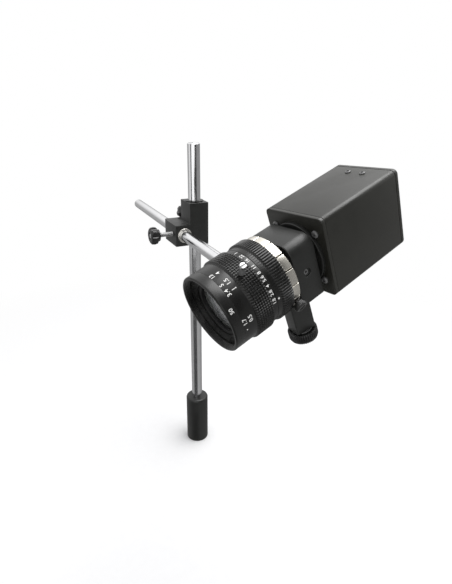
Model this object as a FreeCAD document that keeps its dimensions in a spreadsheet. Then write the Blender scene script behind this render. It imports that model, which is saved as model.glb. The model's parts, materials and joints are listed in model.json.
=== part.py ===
"""Box camera head on an adjustable arm and post.

A tilting, panning box camera with a manual 50 mm class lens hangs on a horizontal cross rod.
The rod turns and slides in a two-way clamp, and the clamp swivels and slides on a vertical post.
Row frame: origin at the centre of the foot's underside, +Z up the post, +X along the cross rod
towards the camera head. The lens looks mostly along -Y and down.

Three local frames are used. The stand is drawn in the row frame. The arm frame sits on the cross
rod's axis at the camera screw: x along the rod, z up the camera screw. The head frame has z forward
along the lens axis from the body's front plane, x to the head's left side seen from behind the
lens, and y up.
"""
import FreeCAD, Part
import math
import os
import re
import Sketcher
from FreeCAD import Placement, Rotation, Vector

doc = FreeCAD.newDocument("CameraArm")

# ---------------------------------------------------------------- driving dimensions (mm, degrees)
SIZES = {
    # fits: gaps between a moving pair, between a fixed pair, and a thread's flanks
    "running_fit": 0.05, "close_fit": 0.02, "thread_fit": 0.08,
    # stand
    "post_d": 16, "post_top": 460, "post_seat": 6, "rod_chamfer": 1,
    "foot_d": 33.6, "foot_top": 80, "foot_round": 3, "foot_edge": 1.5,
    "foot_thread_r": 3.4, "foot_thread_depth": 5,
    "foot_screw_r": 2.5, "foot_screw_low": 22, "foot_screw_high": 58, "foot_screw_sink": 1,
    "foot_socket_depth": 2.5,
    # cross rod and its place
    "rod_d": 14, "rod_y": -20.9, "rod_z": 348.1, "rod_far_x": -197, "arm_x": 267.2,
    "tilt_deg": 20.44, "pan_deg": 8.6,
    # clamp block, its boss and its bushes
    "block_x": 32.2, "block_y": 25.4, "block_low": 333, "block_top": 388.4, "block_edge": 1,
    "boss_x_low": -28, "boss_y_front": -32.5, "boss_low": 334, "boss_top": 361.4, "boss_round": 3.5,
    "square_end": 12,
    "post_bush_r": 10, "post_bush_flange_r": 11.4, "post_bush_flange": 1.6,
    "rod_bush_r": 8, "rod_bush_flange_r": 9.4, "rod_bush_flange": 2, "bush_slot": 1.6,
    "clip_groove": 1.2, "clip_groove_deep": 0.45, "clip_mouth": 4, "bush_tail": 3,
    # hand knobs
    "lock_screw_r": 3, "lock_screw_point": 0.6, "lock_pad_r": 2.9, "lock_pad_thick": 1.5,
    "lock_knob_gap": 18, "lock_knob_d": 22.6, "lock_knob_length": 12.4,
    "post_lock_z": 366, "post_lock_gap": 12, "rod_lock_x": 2, "lobe_count": 7, "lobe_cut_r": 3.2,
    # arm block and camera screw
    "arm_block_x": 15, "arm_block_y": 17.8, "arm_block_low": -12.9, "arm_block_edge": 1.2,
    "head_lift": 50.25, "head_offset": 17.15, "spigot_r": 5, "spigot_length": 12,
    "camera_screw_r": 3.175, "camera_screw_point": 0.8, "camera_screw_bite": 6.5,
    "washer_r": 8.6, "washer_thick": 0.8, "camera_knob_r": 12.3, "camera_knob_length": 10,
    "camera_knob_skin": 2, "camera_knob_ribs": 40, "rib_groove_r": 0.7,
    # adapter block and neck
    "adapter_size": 48, "adapter_drop": 2.2, "adapter_round": 9, "adapter_low_round": 1.5,
    "adapter_back": 6, "adapter_front": 28,
    "adapter_seat_depth": 7, "adapter_screw_y": -1.5, "adapter_screw_r": 2, "recess_r": 3.3,
    "recess_depth": 1.2,
    "light_r": 11.5, "neck_r": 20, "neck_wall": 2, "neck_flange_r": 25.4, "neck_flange": 3,
    # camera body
    "body_x": 59.2, "body_y": 64.4, "body_round": 4, "body_long": 83.4, "body_wall": 2,
    "screw_point": 0.3,
    "plate_thick": 3, "cover_thick": 4, "cover_groove": 0.3, "cover_lip": 12, "cover_lip_wall": 2.4,
    "plate_screw_x": 20.9, "plate_screw_y": 19.6, "cover_screw_x": 24, "cover_screw_y": 26.6,
    "top_screw_x": 7, "top_screw_back": 70.5, "cover_hole": 8,
    "plate_screw_r": 1.5, "plate_screw_head_r": 2.8, "plate_screw_head": 1.8, "plate_screw_long": 6,
    "cover_screw_r": 1.25, "cover_screw_head_r": 2.4, "cover_screw_head": 1.4, "cover_screw_long": 6,
    "top_screw_r": 1.25, "top_screw_head_r": 2.4, "top_screw_head": 1.1, "top_screw_long": 4,
    # connectors in the rear cover
    "video_x": -11, "power_x": 12, "socket_y": 8, "lamp_x": 12, "lamp_y": -10,
    "video_r": 5, "video_inside": 8, "video_core_r": 2, "video_flange_r": 7.4, "video_flange": 2.4,
    "video_shell_r": 4.85, "video_shell_wall": 0.75, "video_floor": 3, "video_long": 11,
    "video_lug": 1.7, "video_lug_span": 11.2, "video_lug_height": 8, "video_pin_r": 0.8,
    "power_r": 4, "power_inside": 10, "power_flange_r": 5.4, "power_flange": 1.6,
    "power_bore_r": 3, "power_bore_deep": 7, "power_pin_r": 1, "power_pin": 0.8,
    "lamp_r": 1.5, "lamp_inside": 5, "lamp_dome": 1.2,
    # electronics
    "board_size": 50, "board_round": 2, "board_thick": 1.6, "board_back": 8, "board_hole_r": 1.2,
    "pillar_x": 17, "pillar_y": 22, "pillar_r": 2.4, "pillar_pin": 3,
    "chip_x": 14, "chip_y": 12, "chip_thick": 2.2, "chip_rim": 1.5, "window_depth": 1.22,
    "window_thick": 0.7, "main_board_size": 46, "main_board_back": 46,
    # lens mount
    "mount_front": 37.8, "mount_back": 31, "mount_r": 29.9, "mount_thread_r": 12.7, "mount_wall": 2,
    "mount_tail": 4, "focus_shim_r": 26, "small_edge": 0.5,
    "grip_front": 48.3, "grip_r": 31.4, "band_front": 52.25,
    "barrel_r": 25, "barrel_bore_r": 22.5, "barrel_front": 66,
    "thumb_phi": 122, "thumb_along": 34.2, "thumb_shank_r": 1.5, "thumb_shank": 7,
    "thumb_gap": 1.7, "thumb_r": 4.9, "thumb_length": 4.4,
    # lens rings
    "aperture_back": 52.35, "aperture_front": 56.35, "aperture_r": 30,
    "knurl_back": 56.7, "knurl_front": 71, "knurl_r": 31.5, "scale_front": 82, "scale_r": 30,
    "focus_screw_phi": 35.8, "focus_screw_along": 65, "focus_screw_r": 1.2, "focus_screw_sink": 5,
    "collar_r": 2.15, "collar_high": 7.3, "focus_head_r": 2.4, "focus_head_high": 2.35, "slot_wide": 0.8,
    # optics
    "rim_back": 82.05, "rim_front": 89.8, "rim_r": 30, "filter_thread_r": 27.5, "rim_floor": 2.6,
    "cell_back": 46, "cell_bore_r": 20.5, "cell_rear_bore_r": 14, "cell_step": 12, "front_glass_sink": 3.2,
    "blade_thick": 0.15, "blade_pitch": 0.32, "blade_first": 61, "blade_inner_r": 10.4,
    "blade_outer_r": 17, "blade_sweep": 95, "blade_count": 5,
}

sheet = doc.addObject("Spreadsheet::Sheet", "Sizes")
for row, (alias, size) in enumerate(SIZES.items(), start=1):
    sheet.set("A%d" % row, alias)
    sheet.set("B%d" % row, str(size))
    sheet.setAlias("B%d" % row, alias)
doc.recompute()


def sized(formula):
    """A formula over the sheet's aliases, written out for the expression engine."""
    return re.sub("[a-z_]+", lambda word: in_sheet(word.group(0)), str(formula))


def in_sheet(word):
    return "Sizes." + word if word in SIZES else word


def number(formula):
    """The value of a formula over the sheet."""
    result = sheet.evalExpression(sized(formula))
    return float(getattr(result, "Value", result))


# ---------------------------------------------------------------- frames
TOWARDS = {
    "+X": Rotation(Vector(0, 0, 1), Vector(1, 0, 0)),
    "-X": Rotation(Vector(0, 0, 1), Vector(-1, 0, 0)),
    "+Y": Rotation(Vector(0, 0, 1), Vector(0, 1, 0)),
    "-Y": Rotation(Vector(0, 0, 1), Vector(0, -1, 0)),
    "+Z": Rotation(),
    "-Z": Rotation(Vector(1, 0, 0), 180),
}


def spot(x, y, z, towards="+Z"):
    """A placement at a point given by formulas, with its z turned towards a direction."""
    turn = TOWARDS[towards] if isinstance(towards, str) else towards
    return Placement(Vector(number(x), number(y), number(z)), turn)


def radial(angle_deg, radius, along):
    """A placement in the head frame on a circle round the lens axis, z pointing outwards.

    The angle runs from the top of the lens towards its +x side.
    """
    angle = math.radians(number(angle_deg))
    outwards = Vector(math.sin(angle), math.cos(angle), 0)
    start = outwards * number(radius)
    start.z = number(along)
    return Placement(start, Rotation(Vector(0, 0, 1), outwards))


ROW = Placement()
TILT = Rotation(Vector(1, 0, 0), number("tilt_deg"))
PAN = Rotation(Vector(0, 0, 1), number("pan_deg"))
ARM = Placement(Vector(number("arm_x"), number("rod_y"), number("rod_z")), TILT)
PAN_RAD = math.radians(number("pan_deg"))
HEAD_BACK = Vector(-math.sin(PAN_RAD), math.cos(PAN_RAD), 0) * number("head_offset")
HEAD_UP = Vector(0, 0, number("head_lift"))
HEAD = ARM * Placement(HEAD_BACK + HEAD_UP, PAN * Rotation(Vector(1, 0, 0), 90))
BOTTOM_OF_ADAPTER = "head_lift - adapter_size / 2 - adapter_drop"

# ---------------------------------------------------------------- building blocks
parts = []


def keep(item, node, frame=ROW):
    """Take an object as the finished sub-part of this name, moved into its frame."""
    item.Label = node
    item.Placement = frame * item.Placement
    parts.append(item)


def cylinder(name, radius, length, place=None):
    item = doc.addObject("Part::Cylinder", name)
    item.setExpression("Radius", sized(radius))
    item.setExpression("Height", sized(length))
    item.Placement = place or Placement()
    return item


def box(name, x, y, z, place=None):
    """A box centred on its placement in x and y, and standing on it in z."""
    item = doc.addObject("Part::Box", name)
    item.setExpression("Length", sized(x))
    item.setExpression("Width", sized(y))
    item.setExpression("Height", sized(z))
    centre = Placement(Vector(-number(x) / 2, -number(y) / 2, 0), Rotation())
    item.Placement = (place or Placement()) * centre
    return item


def hexagon(name, across_flats, length, place=None):
    item = doc.addObject("Part::Prism", name)
    item.Polygon = 6
    item.setExpression("Circumradius", "(%s) / %.6f" % (sized(across_flats), math.sqrt(3)))
    item.setExpression("Height", sized(length))
    item.Placement = place or Placement()
    return item


def cut(name, base, *tools):
    """The base less every tool."""
    item = doc.addObject("Part::Cut", name)
    item.Base = base
    item.Tool = tools[0] if len(tools) == 1 else join(name + "_tools", *tools)
    return item


def join(name, *shapes):
    item = doc.addObject("Part::MultiFuse", name)
    item.Shapes = list(shapes)
    return item


def group(name, shapes):
    """Separate solids kept together as one node."""
    item = doc.addObject("Part::Compound", name)
    item.Links = shapes
    return item


def sketch_on(body, plane):
    sketch = body.newObject("Sketcher::SketchObject", body.Name + "_outline")
    origin_planes = body.Origin.OriginFeatures
    sketch.AttachmentSupport = [next(item for item in origin_planes if item.Role == plane)]
    sketch.MapMode = "FlatFace"
    return sketch


def pin_point(sketch, line, x, y):
    """Dimension a line's start point from the sketch's origin."""
    for kind, formula, axis in (("DistanceX", x, -2), ("DistanceY", y, -1)):
        if number(formula) == 0:
            sketch.addConstraint(Sketcher.Constraint("PointOnObject", line, 1, axis))
        else:
            size = Sketcher.Constraint(kind, -1, 1, line, 1, number(formula))
            index = sketch.addConstraint(size)
            sketch.setExpression("Constraints[%d]" % index, sized(formula))


def turned(name, *outline, place=None):
    """A solid of revolution about z from (radius, z) corners, each dimensioned from the sheet."""
    body = doc.addObject("PartDesign::Body", name)
    sketch = sketch_on(body, "XZ_Plane")
    corners = [Vector(number(radius), number(along), 0) for radius, along in outline]
    for index, corner in enumerate(corners):
        following = corners[(index + 1) % len(corners)]
        sketch.addGeometry(Part.LineSegment(corner, following), False)
    for index in range(len(corners)):
        following = (index + 1) % len(corners)
        sketch.addConstraint(Sketcher.Constraint("Coincident", index, 2, following, 1))
        pin_point(sketch, index, *outline[index])
    turn = body.newObject("PartDesign::Revolution", name + "_turn")
    turn.Profile = sketch
    turn.ReferenceAxis = (sketch, ["V_Axis"])
    turn.Angle = 360
    body.Placement = place or Placement()
    return body


def bar(name, wide, high, corner, length, place=None):
    """A rounded rectangular bar, wide in x and high in y, padded along z."""
    body = doc.addObject("PartDesign::Body", name)
    sketch = sketch_on(body, "XY_Plane")
    half_x, half_y, round_r = number(wide) / 2, number(high) / 2, number(corner)
    inner_x, inner_y = half_x - round_r, half_y - round_r
    for quarter, (side_x, side_y) in enumerate(((1, 1), (-1, 1), (-1, -1), (1, -1))):
        centre = Vector(side_x * inner_x, side_y * inner_y, 0)
        circle = Part.Circle(centre, Vector(0, 0, 1), round_r)
        start = quarter * math.pi / 2
        sketch.addGeometry(Part.ArcOfCircle(circle, start, start + math.pi / 2), False)
    flats = (
        (Vector(inner_x, half_y, 0), Vector(-inner_x, half_y, 0)),
        (Vector(-half_x, inner_y, 0), Vector(-half_x, -inner_y, 0)),
        (Vector(-inner_x, -half_y, 0), Vector(inner_x, -half_y, 0)),
        (Vector(half_x, -inner_y, 0), Vector(half_x, inner_y, 0)),
    )
    for start, end in flats:
        sketch.addGeometry(Part.LineSegment(start, end), False)
    for quarter in range(4):
        line, next_arc = quarter + 4, (quarter + 1) % 4
        sketch.addConstraint(Sketcher.Constraint("Tangent", quarter, 2, line, 1))
        sketch.addConstraint(Sketcher.Constraint("Tangent", line, 2, next_arc, 1))
    for arc in (1, 2, 3):
        sketch.addConstraint(Sketcher.Constraint("Equal", 0, arc))
    sketch.addConstraint(Sketcher.Constraint("Horizontal", 4))
    sketch.addConstraint(Sketcher.Constraint("Vertical", 5))
    sketch.addConstraint(Sketcher.Constraint("Symmetric", 4, 1, 6, 1, -1, 1))
    for kind, ends, formula in (
        ("DistanceX", (5, 1, 7, 1), wide),
        ("DistanceY", (6, 1, 4, 1), high),
    ):
        index = sketch.addConstraint(Sketcher.Constraint(kind, *ends, number(formula)))
        sketch.setExpression("Constraints[%d]" % index, sized(formula))
    index = sketch.addConstraint(Sketcher.Constraint("Radius", 0, round_r))
    sketch.setExpression("Constraints[%d]" % index, sized(corner))
    pad = body.newObject("PartDesign::Pad", name + "_pad")
    pad.Profile = sketch
    pad.setExpression("Length", sized(length))
    body.Placement = place or Placement()
    return body


def screw(name, kind, place):
    """A socket screw seated at its placement: head along +z, shank along -z.

    The kind names its sizes in the sheet: kind_head_r, kind_head, kind_r and kind_long.
    """
    head_r, head, shank_r = kind + "_head_r", kind + "_head", kind + "_r"
    tip = "-%s_long" % kind
    outline = (
        (0, tip), (shank_r + " - screw_point", tip), (shank_r, tip + " + screw_point"), (shank_r, 0),
        (head_r, 0), (head_r, head + " * 0.6"), (head_r + " * 0.75", head), (0, head),
    )
    solid = turned(name + "_solid", *outline)
    recess = hexagon(name + "_hex", head_r + " * 0.9", head, spot(0, 0, head + " * 0.45"))
    item = cut(name, solid, recess)
    item.Placement = place
    return item


# ---------------------------------------------------------------- stand
FOOT_SCREW_LEVELS = ("foot_screw_low", "foot_screw_high")


def make_foot():
    """A round socket that holds the post, with a tapped hole up its underside."""
    round_cut = "foot_round * 0.3"
    solid = turned(
        "FootSolid", (0, 0), ("foot_d / 2 - foot_edge", 0), ("foot_d / 2", "foot_edge"),
        ("foot_d / 2", "foot_top - foot_round"),
        ("foot_d / 2 - " + round_cut, "foot_top - " + round_cut),
        ("foot_d / 2 - foot_round", "foot_top"), (0, "foot_top"),
    )
    bore = cylinder("FootBore", "post_d / 2 + close_fit", "foot_top", spot(0, 0, "post_seat"))
    tapped = cylinder("FootTapped", "foot_thread_r", "foot_thread_depth", ROW)
    side_holes = [
        cylinder("FootSide_" + level, "foot_screw_r + running_fit", "foot_d", spot(0, 0, level, "-X"))
        for level in FOOT_SCREW_LEVELS
    ]
    keep(cut("Foot", solid, bore, tapped, *side_holes), "foot_socket")


def make_foot_screws():
    """Two socket set screws that bear on the post."""
    length = "foot_d / 2 - post_d / 2 - foot_screw_sink"
    tip = "-post_d / 2 - running_fit"
    screws = []
    for level in FOOT_SCREW_LEVELS:
        solid = cylinder("Solid_" + level, "foot_screw_r", length, spot(tip, 0, level, "-X"))
        floor = spot("%s - (%s) + foot_socket_depth" % (tip, length), 0, level, "-X")
        socket = hexagon("Hex_" + level, "foot_screw_r", "foot_socket_depth + 1", floor)
        screws.append(cut("Screw_" + level, solid, socket))
    keep(group("FootScrews", screws), "foot_set_screws")


def make_post():
    edge = "post_d / 2 - rod_chamfer"
    post = turned(
        "Post", (0, "post_seat"), (edge, "post_seat"), ("post_d / 2", "post_seat + rod_chamfer"),
        ("post_d / 2", "post_top - rod_chamfer"), (edge, "post_top"), (0, "post_top"),
    )
    keep(post, "post")


# ---------------------------------------------------------------- clamp
def make_post_bush():
    """A split sleeve: the clamp turns on it, and the lock squeezes it on the post."""
    bore_r = "post_d / 2 + running_fit"
    flange_low, flange_top = "block_low - post_bush_flange", "block_low - running_fit"
    sleeve = turned(
        "PostBushSleeve", (bore_r, flange_low), ("post_bush_flange_r", flange_low),
        ("post_bush_flange_r", flange_top), ("post_bush_r", flange_top), ("post_bush_r", "block_top"),
        (bore_r, "block_top"),
    )
    slot_place = spot("post_bush_r", 0, "block_low - post_bush_flange - 1")
    slot = box("PostBushSlot", "post_bush_r", "bush_slot", "block_top", slot_place)
    keep(cut("PostBush", sleeve, slot), "post_bush")


def make_clamp():
    """One block with an upright bore for the post and a boss with a cross bore for the rod."""
    upright = bar(
        "ClampUpright", "block_x", "block_y", "block_edge", "block_top - block_low",
        spot(0, 0, "block_low"),
    )
    boss_y, boss_high = "-boss_y_front", "boss_top - boss_low"
    boss = bar(
        "ClampBoss", "block_x / 2 - boss_x_low", boss_y, "boss_round", boss_high,
        spot("(block_x / 2 + boss_x_low) / 2", "boss_y_front / 2", "boss_low"),
    )
    end_place = spot("block_x / 2 - square_end / 2", "boss_y_front / 2", "boss_low")
    end = box("ClampSquareEnd", "square_end", boss_y, boss_high, end_place)
    through = "2 * block_top"
    bores = [
        cylinder("ClampPostBore", "post_bush_r + running_fit", through, ROW),
        cylinder("ClampRodBore", "rod_bush_r + running_fit", through,
                 spot("-block_top", "rod_y", "rod_z", "+X")),
        cylinder("ClampPostThread", "lock_screw_r + running_fit", "block_x",
                 spot(0, 0, "post_lock_z", "-X")),
        cylinder("ClampRodThread", "lock_screw_r + running_fit", "block_x",
                 spot("rod_lock_x", "rod_y", "rod_z", "-Y")),
    ]
    keep(cut("Clamp", join("ClampSolid", upright, boss, end), *bores), "clamp_block")


def make_rod_bush():
    """A bright flanged split sleeve round the cross rod, held in the boss by a spring clip."""
    bore_r = "rod_d / 2 + running_fit"
    tail = "boss_x_low - bush_tail"
    groove_front = "boss_x_low - 0.4"
    groove_back = groove_front + " - clip_groove"
    groove_r = "rod_bush_r - clip_groove_deep"
    flange_back = "block_x / 2 + running_fit"
    flange_front = "block_x / 2 + rod_bush_flange"
    sleeve = turned(
        "RodBushSleeve", (bore_r, tail), ("rod_bush_r", tail), ("rod_bush_r", groove_back),
        (groove_r, groove_back), (groove_r, groove_front), ("rod_bush_r", groove_front),
        ("rod_bush_r", flange_back), ("rod_bush_flange_r", flange_back),
        ("rod_bush_flange_r", flange_front + " - small_edge"),
        ("rod_bush_flange_r - small_edge", flange_front), (bore_r, flange_front),
    )
    back = "boss_x_low - bush_tail - 1"
    slot = box("RodBushSlot", "bush_slot", "rod_bush_r", "block_x - boss_x_low / 2",
               spot(0, "rod_bush_r", back))
    bush = cut("RodBush", sleeve, slot)
    bush.Placement = spot(0, "rod_y", "rod_z", "+X")
    keep(bush, "rod_bush")
    inner_r, outer_r = groove_r + " + running_fit", groove_r + " + 2 * clip_groove_deep + 1"
    clip_back, clip_front = groove_back + " + 0.1", groove_front + " - 0.1"
    ring = turned(
        "ClipRing", (inner_r, clip_back), (outer_r, clip_back), (outer_r, clip_front),
        (inner_r, clip_front),
    )
    mouth = box("ClipMouth", "clip_mouth", "rod_bush_r * 2", "bush_tail + 2", spot(0, "-rod_bush_r", back))
    clip = cut("RodBushClip", ring, mouth)
    clip.Placement = spot(0, "rod_y", "rod_z", "+X")
    keep(clip, "rod_bush_clip")


def make_lock(prefix, node, place, gap):
    """A lobed hand knob on a steel screw that presses a brass pad on a bush.

    The placement is on the bush's surface with z pointing out of the clamp; gap is the distance
    from there to the knob's inner face.
    """
    pad_thick = "lock_pad_thick - 2 * running_fit"
    pad = cylinder(prefix + "Pad", "lock_pad_r", pad_thick, place * spot(0, 0, "running_fit"))
    keep(pad, node + "_pad")
    knob_end = gap + " + lock_knob_length"
    shank = turned(
        prefix + "Screw", (0, "lock_pad_thick"), ("lock_screw_r - lock_screw_point", "lock_pad_thick"),
        ("lock_screw_r", "lock_pad_thick + lock_screw_point"), ("lock_screw_r", knob_end + " - 0.4"),
        ("lock_screw_r - 0.4", knob_end), (0, knob_end),
        place=place,
    )
    keep(shank, node + "_screw")
    hub_r = "lock_screw_r + close_fit / 2"
    grip = turned(
        prefix + "Grip", (hub_r, gap), ("lock_knob_d * 0.34", gap),
        ("lock_knob_d / 2 - 0.6", gap + " + lock_knob_length * 0.42"),
        ("lock_knob_d / 2", gap + " + lock_knob_length * 0.55"),
        ("lock_knob_d / 2", gap + " + lock_knob_length * 0.82"),
        ("lock_knob_d / 2 - 1.6", knob_end + " - 0.6"), ("lock_knob_d / 4", knob_end),
        (hub_r, knob_end),
    )
    flutes = round_cutters(
        prefix + "Flute", "lobe_count", "lobe_cut_r", "lock_knob_d / 2 + lobe_cut_r * 0.45",
        gap + " - 1", "lock_knob_length + 2",
    )
    knob = cut(prefix + "Knob", grip, *flutes)
    knob.Placement = place
    keep(knob, node + "_knob")


def round_cutters(name, count, radius, circle_r, low, length):
    """Upright cylinders spaced evenly on a circle, for flutes and ribs."""
    cutters = []
    for index in range(int(number(count))):
        angle = 2 * math.pi * index / number(count)
        centre = Vector(math.cos(angle), math.sin(angle), 0) * number(circle_r)
        centre.z = number(low)
        cutters.append(cylinder("%s%d" % (name, index), radius, length, Placement(centre, Rotation())))
    return cutters


# ---------------------------------------------------------------- cross rod and arm block
def make_cross_rod():
    """A round rod with a spigot, cross-drilled for the camera screw, in the arm block."""
    shoulder = "arm_x - arm_block_x / 2"
    tip = shoulder + " + spigot_length"
    rod = turned(
        "RodSolid", (0, "rod_far_x"), ("rod_d / 2 - rod_chamfer", "rod_far_x"),
        ("rod_d / 2", "rod_far_x + rod_chamfer"), ("rod_d / 2", shoulder), ("spigot_r", shoulder),
        ("spigot_r", tip), (0, tip),
    )
    rod.Placement = spot(0, "rod_y", "rod_z", "+X")
    hole_place = ARM * spot(0, 0, "-rod_d")
    hole = cylinder("RodCrossHole", "camera_screw_r + thread_fit", "2 * rod_d", hole_place)
    keep(cut("CrossRod", rod, hole), "cross_rod")


def make_arm_block():
    """The upright block on the rod's end that carries the camera on one vertical screw."""
    height = BOTTOM_OF_ADAPTER + " - arm_block_low - close_fit"
    solid = bar("ArmBlockSolid", "arm_block_x", "arm_block_y", "arm_block_edge", height,
                spot(0, 0, "arm_block_low"))
    bore = cylinder("ArmBlockBore", "spigot_r + close_fit", "spigot_length + 0.1",
                    spot("-arm_block_x / 2 - 0.05", 0, 0, "+X"))
    hole = cylinder("ArmBlockHole", "camera_screw_r + thread_fit", "2 * head_lift",
                    spot(0, 0, "-head_lift"))
    keep(cut("ArmBlock", solid, bore, hole), "arm_block", ARM)


def make_camera_screw():
    """A ribbed knob, its washer, and the 1/4 inch screw that runs up into the adapter block."""
    hole_r = "camera_screw_r + thread_fit"
    washer_low, washer_top = "arm_block_low - washer_thick", "arm_block_low - close_fit"
    washer = turned(
        "Washer", (hole_r, washer_low), ("washer_r", washer_low), ("washer_r", washer_top),
        (hole_r, washer_top),
    )
    keep(washer, "camera_knob_washer", ARM)
    knob_top = washer_low + " - close_fit"
    knob_low = knob_top + " - camera_knob_length"
    screw_low = knob_low + " + camera_knob_skin"
    tip = BOTTOM_OF_ADAPTER + " + camera_screw_bite"
    shank = turned(
        "CameraScrew", (0, screw_low), ("camera_screw_r", screw_low),
        ("camera_screw_r", tip + " - camera_screw_point"),
        ("camera_screw_r - camera_screw_point", tip), (0, tip),
    )
    keep(shank, "camera_screw", ARM)
    grip = turned(
        "CameraGrip", (0, knob_low), ("camera_knob_r - 3", knob_low),
        ("camera_knob_r - 0.9", knob_low + " + 1.1"), ("camera_knob_r", knob_low + " + 3.2"),
        ("camera_knob_r", knob_top + " - 0.8"), ("camera_knob_r - 0.8", knob_top), (0, knob_top),
    )
    socket = cylinder("CameraGripSocket", "camera_screw_r + close_fit / 2", "2 * camera_knob_length",
                      spot(0, 0, screw_low))
    grooves = round_cutters(
        "CameraGroove", "camera_knob_ribs", "rib_groove_r", "camera_knob_r + 0.4 * rib_groove_r",
        knob_low + " - 1", "camera_knob_length + 2",
    )
    keep(cut("CameraKnob", grip, socket, *grooves), "camera_knob", ARM)


# ---------------------------------------------------------------- camera body
def make_adapter():
    """The nose block, round above and square below: lens bore, tapped hole below, set screw."""
    long, low_half = "adapter_front - adapter_back", "adapter_size / 2 + adapter_drop"
    upper = bar("AdapterUpper", "adapter_size", "adapter_size", "adapter_round", long,
                spot(0, 0, "adapter_back"))
    lower = bar("AdapterLower", "adapter_size", low_half, "adapter_low_round", long,
                spot(0, "-(%s) / 2" % low_half, "adapter_back"))
    solid = join("AdapterSolid", upper, lower)
    side = "adapter_size / 2"
    seat = "adapter_front - adapter_seat_depth"
    shank_start = "mount_thread_r + mount_wall"
    holes = [
        cylinder("AdapterLight", "light_r", "adapter_size", ROW),
        cylinder("AdapterSeat", "mount_thread_r + running_fit", "adapter_size", spot(0, 0, seat)),
        cylinder("AdapterTapped", "camera_screw_r + thread_fit", "camera_screw_bite + 2",
                 spot(0, "camera_screw_bite + 1 - (%s)" % low_half, "head_offset", "-Y")),
        cylinder("AdapterRecess", "recess_r", "2 * recess_depth",
                 spot(side + " - recess_depth", "adapter_screw_y", "head_offset", "+X")),
        cylinder("AdapterSide", "adapter_screw_r + running_fit", side,
                 spot("mount_thread_r + 0.2", "adapter_screw_y", "head_offset", "+X")),
    ]
    keep(cut("Adapter", solid, *holes), "adapter_block", HEAD)
    screw_end = side + " - recess_depth - 0.4"
    base = spot(shank_start, "adapter_screw_y", "head_offset", "+X")
    body = cylinder("AdapterScrewSolid", "adapter_screw_r", "%s - (%s)" % (screw_end, shank_start), base)
    floor = spot(screw_end + " - adapter_screw_r", "adapter_screw_y", "head_offset", "+X")
    socket = hexagon("AdapterScrewHex", "adapter_screw_r", "2 * adapter_screw_r", floor)
    keep(cut("AdapterScrew", body, socket), "adapter_set_screw", HEAD)


def make_neck():
    """The round flange and neck between the front plate and the adapter block."""
    bore_r = "light_r + small_edge"
    neck = turned(
        "Neck", (bore_r, "-plate_thick"), ("neck_r - neck_wall", "-plate_thick"),
        ("neck_r - neck_wall", 0), ("neck_flange_r", 0), ("neck_flange_r", "neck_flange - small_edge"),
        ("neck_flange_r - small_edge", "neck_flange"), ("neck_r", "neck_flange"),
        ("neck_r", "adapter_back"), (bore_r, "adapter_back"),
    )
    keep(neck, "mount_neck", HEAD)


TOP_SCREW_SIDES = ("-top_screw_x", "top_screw_x")


def make_shell():
    """An open square tube that forms the camera's four sides."""
    outside = bar("ShellOutside", "body_x", "body_y", "body_round",
                  "body_long - cover_thick - plate_thick", spot(0, 0, "-body_long + cover_thick"))
    inside = bar("ShellInside", "body_x - 2 * body_wall", "body_y - 2 * body_wall", "body_round - 1",
                 "body_long", spot(0, 0, "-body_long"))
    holes = [
        cylinder("ShellTopHole%d" % index, "top_screw_r + running_fit", "3 * body_wall",
                 spot(x, "body_y / 2 - 2 * body_wall", "-top_screw_back", "+Y"))
        for index, x in enumerate(TOP_SCREW_SIDES)
    ]
    keep(cut("Shell", outside, inside, *holes), "body_shell", HEAD)


def four_corners(x, y):
    """The four sign pairs of a point, as formulas."""
    return [(side_x + x, side_y + y) for side_x in ("", "-") for side_y in ("", "-")]


def make_front_plate():
    plate = bar("FrontPlateSolid", "body_x", "body_y", "body_round", "plate_thick",
                spot(0, 0, "-plate_thick"))
    through = "4 * plate_thick"
    behind = spot(0, 0, "-2 * plate_thick")
    opening = cylinder("FrontOpening", "neck_r - neck_wall + running_fit", through, behind)
    holes, screws = [], []
    for index, (x, y) in enumerate(four_corners("plate_screw_x", "plate_screw_y")):
        holes.append(cylinder("FrontHole%d" % index, "plate_screw_r + running_fit", through,
                              spot(x, y, "-2 * plate_thick")))
        screws.append(screw("FrontScrew%d" % index, "plate_screw", spot(x, y, 0.01)))
    keep(cut("FrontPlate", plate, opening, *holes), "front_plate", HEAD)
    keep(group("FrontScrews", screws), "front_plate_screws", HEAD)


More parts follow.
